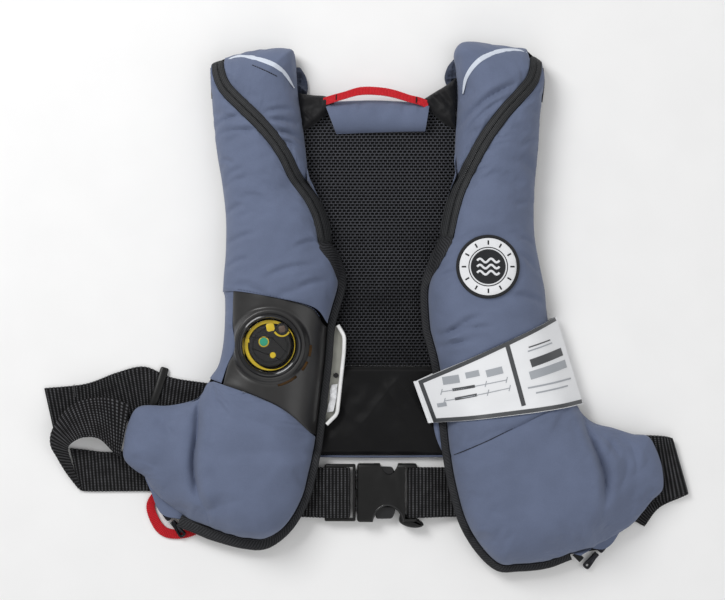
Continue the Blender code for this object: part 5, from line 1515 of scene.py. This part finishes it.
def make_straps(looks):
    web = looks["webbing"]
    webbing("left_back_webbing",
            [((-328, -83, 1.7), (-318, -128, 1.7)), ((-286, -78.5, 1.7), (-281, -127, 1.7)),
             ((-254, -67, 1.7), (-243, -116, 1.7)), ((-226, -61, 1.7), (-222, -110, 1.7)),
             ((-198, -72, 1.7), (-204, -121, 1.7)), ((-160, -78, 1.7), (-166, -127, 1.7))],
            web, "black_webbing", ("left_back_strap",))
    webbing("left_loop_webbing",
            [((-238, -99, 20), (-248, -150, 20)), ((-257, -92, 22), (-254, -147, 22)),
             ((-277, -92, 23.5), (-268.5, -133, 23.5)), ((-299, -100.5, 22.5), (-285, -131.5, 22.5)),
             ((-316, -122, 18.5), (-298, -138, 18.5)), ((-320, -139, 12), (-302, -145, 12)),
             ((-314, -153, 8), (-300, -155, 8)), ((-305, -169, 5.2), (-296, -168, 5.2)),
             ((-293, -185, 3.9), (-290, -184, 3.9))], web, "black_webbing", ("left_side_loop",))
    webbing("left_loop_lower_lay",
            [((-292, -186.5, 1.6), (-302, -144, 1.6)), ((-284, -188, 1.7), (-288, -145.5, 1.7)),
             ((-251, -188, 1.7), (-254, -148, 1.7)), ((-200, -188, 1.7), (-200, -140, 1.7)),
             ((-160, -190, 1.7), (-160, -142, 1.7))], web, "black_webbing", ())
    webbing("right_strap_webbing",
            [((236, -134, 2.4), (250, -200, 2.4)), ((272, -131, 3.6), (284, -199, 3.6)),
             ((298, -131, 6.5), (308, -196, 6.5)), ((310, -133, 7.0), (325, -190, 7.0)),
             ((311, -136, 4.0), (327.5, -191, 4.0)), ((304, -146, 1.6), (322, -194, 1.6)),
             ((283, -170, 1.2), (299, -205, 1.2)), ((246, -203, 1.2), (284, -224, 1.2))],
            web, "black_webbing", ("right_side_strap",), thickness=1.7, relief=0.25)
    bar = np.array([(-297.5, -79.5, 2.95), (-296, -92, 2.95)])
    stitches("strap_bartack", bar, looks["grey_thread"], 0.8, 0.5, 0.5, slot="black_webbing")
    belt_loop("right_front_loop", [(134, 1.6), (90, 1.6), (60, 2.4), (49, 3.1), (44.4, 4.9), (42.9, 8.5),
                                   (44.2, 12.6), (49.5, 14.4), (60, 13.2), (74, 9.2), (88, 6.2), (134, 5.6)],
              looks, "right_front_webbing", JACKET)
    belt_loop("left_front_loop", [(-98, 1.6), (-60, 1.6), (-40, 2.2), (-24, 2.9), (-18.6, 4.6), (-16.8, 8.5),
                                  (-18.4, 12.6), (-25, 14.3), (-40, 13.9), (-50, 11.8), (-64, 7.4),
                                  (-78, 5.8), (-98, 5.4)], looks, "left_front_webbing", "male_half")


def belt_loop(name, route, looks, node, body):
    ribs = [((x, BELT_Y - 25, z), (x, BELT_Y + 25, z)) for x, z in route]
    webbing(name, ribs, looks["webbing"], "black_webbing", (node,), body=body, columns=19)


def make_keeper(looks):
    """The flat slide bar threaded on the back strap."""
    middle = np.array([-213.5, -89.0])
    along, across = np.array([0.951, -0.310]), np.array([0.310, 0.951])

    def loop(half_a, half_b, radius, height):
        points = []
        for corner_a, corner_b, start in ((1, 1, 0), (-1, 1, 90), (-1, -1, 180), (1, -1, 270)):
            for angle in np.radians(np.linspace(start, start + 90, 6)):
                a = corner_a * (half_a - radius) + radius * math.cos(angle)
                b = corner_b * (half_b - radius) + radius * math.sin(angle)
                points.append((*(middle + along * a + across * b), height))
        return np.array(points)

    half_a, half_b = KEEPER_WIDTH / 2, KEEPER_LENGTH / 2
    levels = [(0.6, 0.05), (0.0, 0.6), (0.0, 3.9), (0.7, 4.7)]
    rings = np.array([loop(half_a - d, half_b - d, 2.0, z) for d, z in levels])
    bar = tube("slide_bar", rings, looks["shell"], 60)
    slot_rings = np.array([loop(half_a + 4, half_b - 3, 0.5, z) for z in (0.45, 3.1)])
    cutter = tube("slide_bar_cutter", slot_rings, looks["gloss"])
    place(combined(bar, [cutter]), "keeper", "black_moulding", ("strap_keeper",))


# ---------------------------------------------------------------- buckle

def plate(name, outline, low, high, material, radius, count):
    """A moulded plate with rounded edges, from a closed outline in plan."""
    outline = np.array(outline, float)
    line = even(smooth_line(np.vstack([outline, outline[:1]]), 8 * len(outline)), count + 1)[:-1]
    normal = np.roll(line, -1, axis=0) - np.roll(line, 1, axis=0)
    normal = np.column_stack([normal[:, 1], -normal[:, 0]])
    normal /= np.linalg.norm(normal, axis=1)[:, None]
    area = (line[:, 0] * np.roll(line[:, 1], -1) - np.roll(line[:, 0], -1) * line[:, 1]).sum()
    inward = -normal if area > 0 else normal
    rings = []
    for angle in np.linspace(0, math.pi / 2, 6):
        rings.append((radius * (1 - math.sin(angle)), low + radius * (1 - math.cos(angle))))
    for angle in np.linspace(math.pi / 2, 0, 6):
        rings.append((radius * (1 - math.sin(angle)), high - radius * (1 - math.cos(angle))))
    loops = np.array([np.column_stack([line + inward * inset, np.full(count, z)]) for inset, z in rings])
    return tube(name, loops, material, 60)


def block(name, low, high, material):
    """A box used to cut slots."""
    (x0, y0, z0), (x1, y1, z1) = low, high
    rings = np.array([[(x0, y0, z), (x1, y0, z), (x1, y1, z), (x0, y1, z)] for z in (z0, z1)])
    return tube(name, rings, material)


def rounded_block(name, low, high, material, radius):
    """A box with rounded edges."""
    item = block(name, low, high, material)
    soften_edges = item.modifiers.new("edges", "BEVEL")
    soften_edges.width = radius * MM
    soften_edges.segments = 4
    return applied(item)


def round_edges(item, radius):
    """Rounds the sharp edges that cutting has left."""
    edges = item.modifiers.new("edges", "BEVEL")
    edges.width = radius * MM
    edges.segments = 2
    edges.angle_limit = math.radians(50)
    edges.use_clamp_overlap = True
    applied(item)
    item.data.shade_smooth()
    item.data.set_sharp_from_angle(angle=math.radians(40))


def notch(name, centre, half_wide, half_deep, material):
    """An upright elliptical cutter for a finger recess."""
    ring = round_section(half_wide * 0.78, half_deep, 64) + centre
    return tube(name, np.array([np.column_stack([ring, np.full(64, z)]) for z in (-5.0, 30.0)]), material)


def make_socket(looks):
    """The buckle's female half: a hollow shell with side windows, finger notches and a webbing slot."""
    shell, y, mid = looks["shell"], BELT_Y, BUCKLE_MID_Z
    body = rounded_block("buckle_socket", (-9, y - 29.5, mid - 7.5), (52, y + 29.5, mid + 7.5), shell, 2.8)
    cutters = [block("socket_mouth", (-14, y - 23, mid - 4.2), (36, y + 23, mid + 4.2), shell),
               block("socket_window_low", (8, y - 36, mid - 5), (37, y - 22, mid + 5), shell),
               block("socket_window_high", (8, y + 22, mid - 5), (37, y + 36, mid + 5), shell),
               notch("socket_notch_low", (22, y - 33), 19.5, 20.0, shell),
               notch("socket_notch_high", (23.5, y + 34.5), 12.5, 16.0, shell),
               block("socket_web_slot", (39.5, y - 26, -5), (48, y + 26, 30), shell),
               block("socket_relief_top", (47, y - 26, 12), (60, y + 26, 30), shell),
               block("socket_relief_low", (47, y - 26, -5), (60, y + 26, 5), shell)]
    round_edges(combined(body, cutters), 0.7)
    place(body, JACKET, "black_moulding", ("buckle_female",))
    angles = np.radians(np.linspace(168, 12, 40))
    line = np.column_stack([22 + 16.4 * np.cos(angles), y - 33 + 21.2 * np.sin(angles),
                            np.full(40, mid + 6.6)])
    place(tube("socket_lip", bar_on(line, round_section(1.1, 1.2)), looks["prong"]), JACKET, "black_moulding")
    foot = [(35, -21), (45, -24), (52, -26.5), (57, -30), (58.5, -33), (54, -35.3), (45.7, -35.3),
            (37.5, -32.5), (33.5, -28.5)]
    foot = [(x, y + v) for x, v in foot]
    place(plate("socket_foot", foot, mid - 5, mid + 5.4, shell, 3.0, 90), JACKET, "black_moulding")


def make_plug(looks):
    """The buckle's male half, with its guide tongue and its two sprung prongs."""
    shell, y = looks["shell"], BELT_Y
    low, high = BUCKLE_MID_Z - 3.5, BUCKLE_MID_Z + 3.5
    plug = rounded_block("buckle_plug", (-42, y - 29, low), (-10.5, y + 29, high), shell, 1.6)
    tongue = block("plug_tongue", (-13, y - 3.5, low + 0.6), (30, y + 3.5, high - 0.6), shell)
    slot = block("plug_slot", (-22, y - 26, -5), (-13.5, y + 26, 30), shell)
    plug = combined(combined(plug, [tongue], "UNION"), [slot])
    round_edges(plug, 0.5)
    place(plug, "male_half", "black_moulding", ("buckle_male",))
    for sign, name in ((-1, "lower_prong"), (1, "upper_prong")):
        outline = [(-10, 14), (10, 14), (29, 14), (30, 17), (27, 25.2), (22, 26.4), (12, 26.4),
                   (9.8, 24.4), (8.6, 20.4), (4, 19), (-10, 19)]
        outline = [(x, y + sign * v) for x, v in outline]
        place(plate(name + "_arm", outline, low + 0.5, high - 0.5, looks["prong"], 1.2, 90), name + "_arm",
              "black_moulding", (name,))


# ---------------------------------------------------------------- zip pulls and red loop

def make_zip_pulls(looks):
    for side_name, hinge, along in (("left", LEFT_PULL_HINGE, (0.61, -0.79)),
                                    ("right", RIGHT_PULL_HINGE, (-0.64, -0.77))):
        hinge, along = np.array(hinge), np.array(along)
        across = np.array([-along[1], along[0]])

        def outline(pairs):
            return [tuple(hinge + along * s + across * o) for s, o in pairs]

        body = outline([(-13, -2.4), (-11.5, -3.6), (-8, -4), (-4, -3.8), (-2.2, -2.6), (-2.2, 2.6),
                        (-4, 3.8), (-8, 4), (-11.5, 3.6), (-13, 2.4)])
        place(plate(side_name + "_slider_body", body, 2.6, 6.2, looks["nickel"], 1.0, 60),
              side_name + "_slider", "black_nickel", (side_name + "_zip_slider",))
        tab = outline([(0.4, -2.6), (2, -3.0), (6, -2.9), (11, -3.4), (17, -3.9), (19.4, -2.9), (20, 0),
                       (19.4, 2.9), (17, 3.9), (11, 3.4), (6, 2.9), (2, 3.0), (0.4, 2.6)])
        piece = plate(side_name + "_pull_tab", tab, 3.2, 6.0, looks["nickel"], 1.2, 70)
        hole = turned(side_name + "_tab_hole", [(0, -5), (1.4, -5), (1.4, 20), (0, 20)],
                      tuple(hinge + along * 16.2), looks["nickel"], 24)
        place(combined(piece, [hole]), side_name + "_tab", "black_nickel", (side_name + "_zip_pull",))
    end = np.array([(212, -250, 9.6), (219, -257, 8.6)])
    place(tube("zip_end_tab", bar_on(even(end, 8), round_section(3.2, 1.2)), looks["tape"]),
          slot="charcoal_tape")


def make_pull_loop(looks):
    """The red pull, with tails under the wing as long as it slides out."""
    line = smooth_line([(-187, -171.8), (-201, -182), (-214, -192), (-219.5, -204), (-213, -221),
                        (-203, -230), (-186, -231.5), (-170, -226), (-156, -215.5), (-143, -205.8)], 34)
    share = np.linspace(0, 1, 34)
    at_bend = np.exp(-((share - 0.5) / 0.16) ** 2)
    half, tilt = 4.0 + 1.0 * at_bend, 3.0 * at_bend
    level = 1.5 + 2.4 * smooth_step((0.16 - share) / 0.10)
    inner, outer = offset_line(line, half), offset_line(line, -half)
    ribs = [((*a, z + t), (*b, z)) for a, b, t, z in zip(inner, outer, tilt, level)]
    webbing("red_pull_webbing", ribs, looks["red_loop"], "red_webbing", ("pull_loop",), 1.8, 1.7, 0.3,
            "manual_pull", 11, 0.3)


# ---------------------------------------------------------------- patch and card sleeve

def ring_on(lobe, name, inner, outer, lift, thick, look, rows, segments, ripple=0.0, nodes=()):
    """A round ring or disc of cloth on the patch's place on the lobe."""
    angles = full_turn(segments)
    radii = np.linspace(inner, outer, rows)
    x = PATCH_CENTRE[0] + radii[:, None] * np.cos(angles)
    y = PATCH_CENTRE[1] + radii[:, None] * np.sin(angles)
    share = (radii - inner) / (outer - inner)
    bulge = thick * np.sqrt(np.maximum(1 - (2 * share - 1) ** 2, 0.0))[:, None]
    bulge = bulge * (1 + ripple * np.sin(angles * segments / 3)[None, :])
    base = lobe.cloth(x, y) + lift
    upper, lower = np.dstack([x, y, base + bulge]), np.dstack([x, y, base - 0.9])
    piece = closed_band(name, np.concatenate([upper, lower[::-1]]), look, 60)
    return place(piece, slot="patch_cloth", nodes=nodes)


def make_patch(lobe, looks):
    """The stitched round patch: a dark base, white rings, three waves and a ring of marks."""
    dark, white = looks["patch"], looks["patch_white"]
    ring_on(lobe, "patch_base", 0.6, 30.0, 1.3, 0.05, dark, 30, 120, nodes=("round_patch",))
    ring_on(lobe, "patch_rim", 28.8, 31.6, 1.2, 1.1, dark, 9, 360, 0.25)
    ring_on(lobe, "patch_white_ring", 19.6, 28.3, 1.5, 0.3, white, 9, 180)
    ring_on(lobe, "patch_disc_edge", 17.2, 18.6, 1.45, 0.5, white, 7, 300, 0.3)
    waves, marks = [], []
    for offset in (-6.0, 0.0, 6.0):
        x = np.linspace(-11, 11, 60) + PATCH_CENTRE[0]
        y = PATCH_CENTRE[1] + offset + 1.8 * np.sin((x - PATCH_CENTRE[0]) * 2 * math.pi / 11)
        line = on_cloth(lobe, np.column_stack([x, y]), 1.6)
        waves.append(bar_on(line, round_section(1.1, 0.5, 8)))
    place(many_tubes("patch_waves", waves, white), slot="patch_cloth")
    for angle in np.radians(np.arange(0, 360, 30)):
        radii = np.linspace(21.8, 26.0, 6)[:, None]
        line = PATCH_CENTRE + radii * np.array([math.cos(angle), math.sin(angle)])
        marks.append(bar_on(on_cloth(lobe, line, 1.85), round_section(0.8, 0.4, 8)))
    place(many_tubes("patch_ring_marks", marks, dark), slot="patch_cloth")


SLEEVE_INNER = np.array([(66.0, -117.0), (51.0, -75.0)])
SLEEVE_OUTER = np.array([(219.0, -98.0), (192.0, -10.0)])
SLEEVE_ROWS = 40
SLEEVE_COLUMNS = 130


def tight_line(run, height):
    """The lowest line that stays above the heights and never dips: their upper hull."""
    hull = []
    for k in range(len(run)):
        while len(hull) > 1:
            i, j = hull[-2], hull[-1]
            if (height[j] - height[i]) * (run[k] - run[i]) <= (height[k] - height[i]) * (run[j] - run[i]):
                hull.pop()
            else:
                break
        hull.append(k)
    return np.interp(run, run[hull], height[hull])


def sleeve_loop(lobe, row):
    """One closed loop of the sleeve round the lobe, at a share row of its width.

    The card is stiff, so its face is the tight line over the lobe's crown.
    """
    a = SLEEVE_INNER[0] + (SLEEVE_INNER[1] - SLEEVE_INNER[0]) * row
    b = SLEEVE_OUTER[0] + (SLEEVE_OUTER[1] - SLEEVE_OUTER[0]) * row
    share = crowded(SLEEVE_COLUMNS)
    plan = a + (b - a) * share[:, None]
    x, y = plan[:, 0], plan[:, 1]
    beyond = lobe.outside(x, y) > 0
    proud = np.where(beyond, 16.0, np.maximum(lobe.top(x, y) + 2.4, lobe.cloth(x, y) + 1.4))
    proud[[0, -1]] = 16.0
    run = run_of(plan)
    high = tight_line(run, proud)
    knee = smooth_step((x - a[0] - 9) / 10) * smooth_step((1.0 - share) / 0.035)
    low = np.interp(x, (122, 150), (7.6, 4.2)) * knee + 10.5 * (1 - knee)
    low[[0, -1]] = 13.6
    return np.column_stack([plan, high]), np.column_stack([plan, low])


def sleeve_skin(lobe):
    """The sleeve's closed loops, one for each row across its width, and their outward directions."""
    loops = [sleeve_loop(lobe, row) for row in np.linspace(0, 1, SLEEVE_ROWS)]
    tops, lows = (np.array(faces) for faces in zip(*loops))
    tops[..., 2] = smooth_rows(tops[..., 2])
    loops = np.concatenate([tops, lows[:, ::-1]], axis=1)
    along = np.append(SLEEVE_OUTER.mean(0) - SLEEVE_INNER.mean(0), 0)
    along /= np.linalg.norm(along)
    tangent = np.roll(loops, -1, axis=1) - np.roll(loops, 1, axis=1)
    run, climb = tangent @ along, tangent[..., 2]
    size = np.hypot(run, climb)[..., None] + 1e-9
    return loops, (climb[..., None] * -along + run[..., None] * np.array([0, 0, 1.0])) / size


def make_sleeve(lobe, looks):
    """A card sleeve wrapped round the lobe, white with grey borders and a plain scale."""
    loops, outward = sleeve_skin(lobe)
    outer = loops + outward * 0.5
    rows, count = loops.shape[:2]
    total = rows * count
    faces = grid_faces(rows, count, wrap=True)
    faces += [tuple(f[::-1]) for f in grid_faces(rows, count, total, wrap=True)]
    for edge in (0, (rows - 1) * count):
        faces += [(edge + k, edge + k + total, edge + (k + 1) % count + total, edge + (k + 1) % count)
                  for k in range(count)]
    points = np.concatenate([outer.reshape(-1, 3), loops.reshape(-1, 3)])
    place(add_mesh("card_wrap", points, faces, looks["card"], 50), slot="white_card", nodes=("card_sleeve",))
    face = outer[:, :SLEEVE_COLUMNS]
    edge = face[:, 0]
    print_card(face + outward[:, :SLEEVE_COLUMNS] * 0.14, looks)
    leaves = []
    for step in range(3):
        line = edge + (-0.2 - 0.7 * step, -0.2, -0.8 - 1.3 * step)
        leaves.append(bar_on(line, round_section(1.0, 0.25, 6)))
    place(many_tubes("card_folded_edge", leaves, looks["card"]), slot="white_card")


def on_card(face, points):
    """Points just proud of the card's face, over plan points."""
    u, v = np.full(len(points), 0.5), np.full(len(points), 0.5)
    for _ in range(12):
        inner = SLEEVE_INNER[0] + (SLEEVE_INNER[1] - SLEEVE_INNER[0]) * v[:, None]
        outer = SLEEVE_OUTER[0] + (SLEEVE_OUTER[1] - SLEEVE_OUTER[0]) * v[:, None]
        gap = points - (inner + (outer - inner) * u[:, None])
        by_u = outer - inner
        by_v = ((SLEEVE_INNER[1] - SLEEVE_INNER[0]) * (1 - u[:, None])
                + (SLEEVE_OUTER[1] - SLEEVE_OUTER[0]) * u[:, None])
        det = by_u[:, 0] * by_v[:, 1] - by_u[:, 1] * by_v[:, 0]
        u = u + (gap[:, 0] * by_v[:, 1] - gap[:, 1] * by_v[:, 0]) / det
        v = v + (by_u[:, 0] * gap[:, 1] - by_u[:, 1] * gap[:, 0]) / det
    u, v = np.clip(u, 0.001, 0.999), np.clip(v, 0, 1)
    column = np.arccos(1 - 2 * u) / math.pi * (SLEEVE_COLUMNS - 1)
    return pick(face, v * (SLEEVE_ROWS - 1), column)


def print_card(face, looks):
    """The card's grey borders, scale lines and plain bars."""

    def bars(name, strips, look):
        groups = []
        for x0, y0, x1, y1, width in strips:
            start, end = np.array([x0, y0]), np.array([x1, y1])
            line = start + (end - start) * np.linspace(0, 1, 40)[:, None]
            step = (end - start) / np.hypot(*(end - start))
            side = np.array([-step[1], step[0]]) * width / 2
            a, b = on_card(face, line - side), on_card(face, line + side)
            groups.append(np.stack([a, b, b + (0, 0, 0.12), a + (0, 0, 0.12)], axis=1))
        place(many_tubes(name, groups, looks[look]), slot="white_card")

    (ax, ay), (bx, by) = SLEEVE_INNER
    (cx, cy), (dx, dy) = SLEEVE_OUTER
    bars("card_borders", [(bx + 3, by - 1.4, dx - 1, dy - 2.2, 4), (ax + 3, ay + 2.6, cx - 1, cy + 2.6, 4),
                          (ax + 4.5, ay + 1, bx + 4.0, by + 0.5, 4), (138, -31.5, 156, -97.5, 4.4)], "ink")
    bars("card_scale_lines", [(76, -85, 139, -72, 0.8), (79, -94, 142, -80, 0.8),
                              (75.3, -88, 76.7, -82, 0.8), (138.3, -75, 139.7, -69, 0.8),
                              (117.8, -79, 119.2, -73, 0.8), (78.3, -97, 79.7, -91, 0.8),
                              (141.3, -83, 142.7, -77, 0.8), (120, -87.5, 121.4, -81.5, 0.8)], "pale_ink")
    bars("card_scale_bars", [(86.5, -82.6, 108, -78.2, 2.8), (89, -91.6, 110, -86.8, 2.8),
                             (163, -56, 197, -45, 8), (161, -40, 184, -33, 1.2)], "ink")
    bars("card_pale_bars", [(77, -74, 93, -71, 8), (99, -68, 112, -65, 6), (119, -66, 135, -62, 7),
                            (162, -68, 201, -57, 8), (160, -44, 186, -36, 1.2), (160, -80, 206, -72, 1.6),
                            (168, -85, 202, -79, 1.4), (72, -99, 81, -97, 4)], "pale_ink")


def smooth_rows(values):
    """Irons out kinks along a grid's second axis, keeping its ends."""
    for _ in range(6):
        values[:, 1:-1] = (values[:, :-2] + 2 * values[:, 1:-1] + values[:, 2:]) / 4
    return values


# ---------------------------------------------------------------- pieces kept from the CAD

def paint_kept_nodes(looks):
    """Materials for the working parts inside the casing."""
    kept = {"left_bladder": "bladder", "right_bladder": "bladder", "inflator_body": "face",
            "gas_cylinder": "steel", "firing_pin": "steel", "firing_lever": "yellow",
            "oral_tube": "face", "oral_valve_cap": "red_plastic"}
    for node, look in kept.items():
        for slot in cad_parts[node].material_slots:
            slot.material = looks[look]


def main():
    make_camera()
    make_studio()
    looks = make_looks()
    left, left_join = make_left_lobe(looks)
    right = make_right_lobe(looks)
    make_window(left, left_join, looks)
    make_inflator(left, looks)
    make_tray(looks)
    make_mesh_pad(looks)
    make_lower_lining(looks)
    make_yoke(looks)
    make_back_shoulders(looks)
    make_shoulder_linings(looks)
    make_grab_loop(looks)
    make_straps(looks)
    make_keeper(looks)
    make_socket(looks)
    make_plug(looks)
    make_zip_pulls(looks)
    make_pull_loop(looks)
    make_patch(right, looks)
    make_sleeve(right, looks)
    paint_kept_nodes(looks)


main()
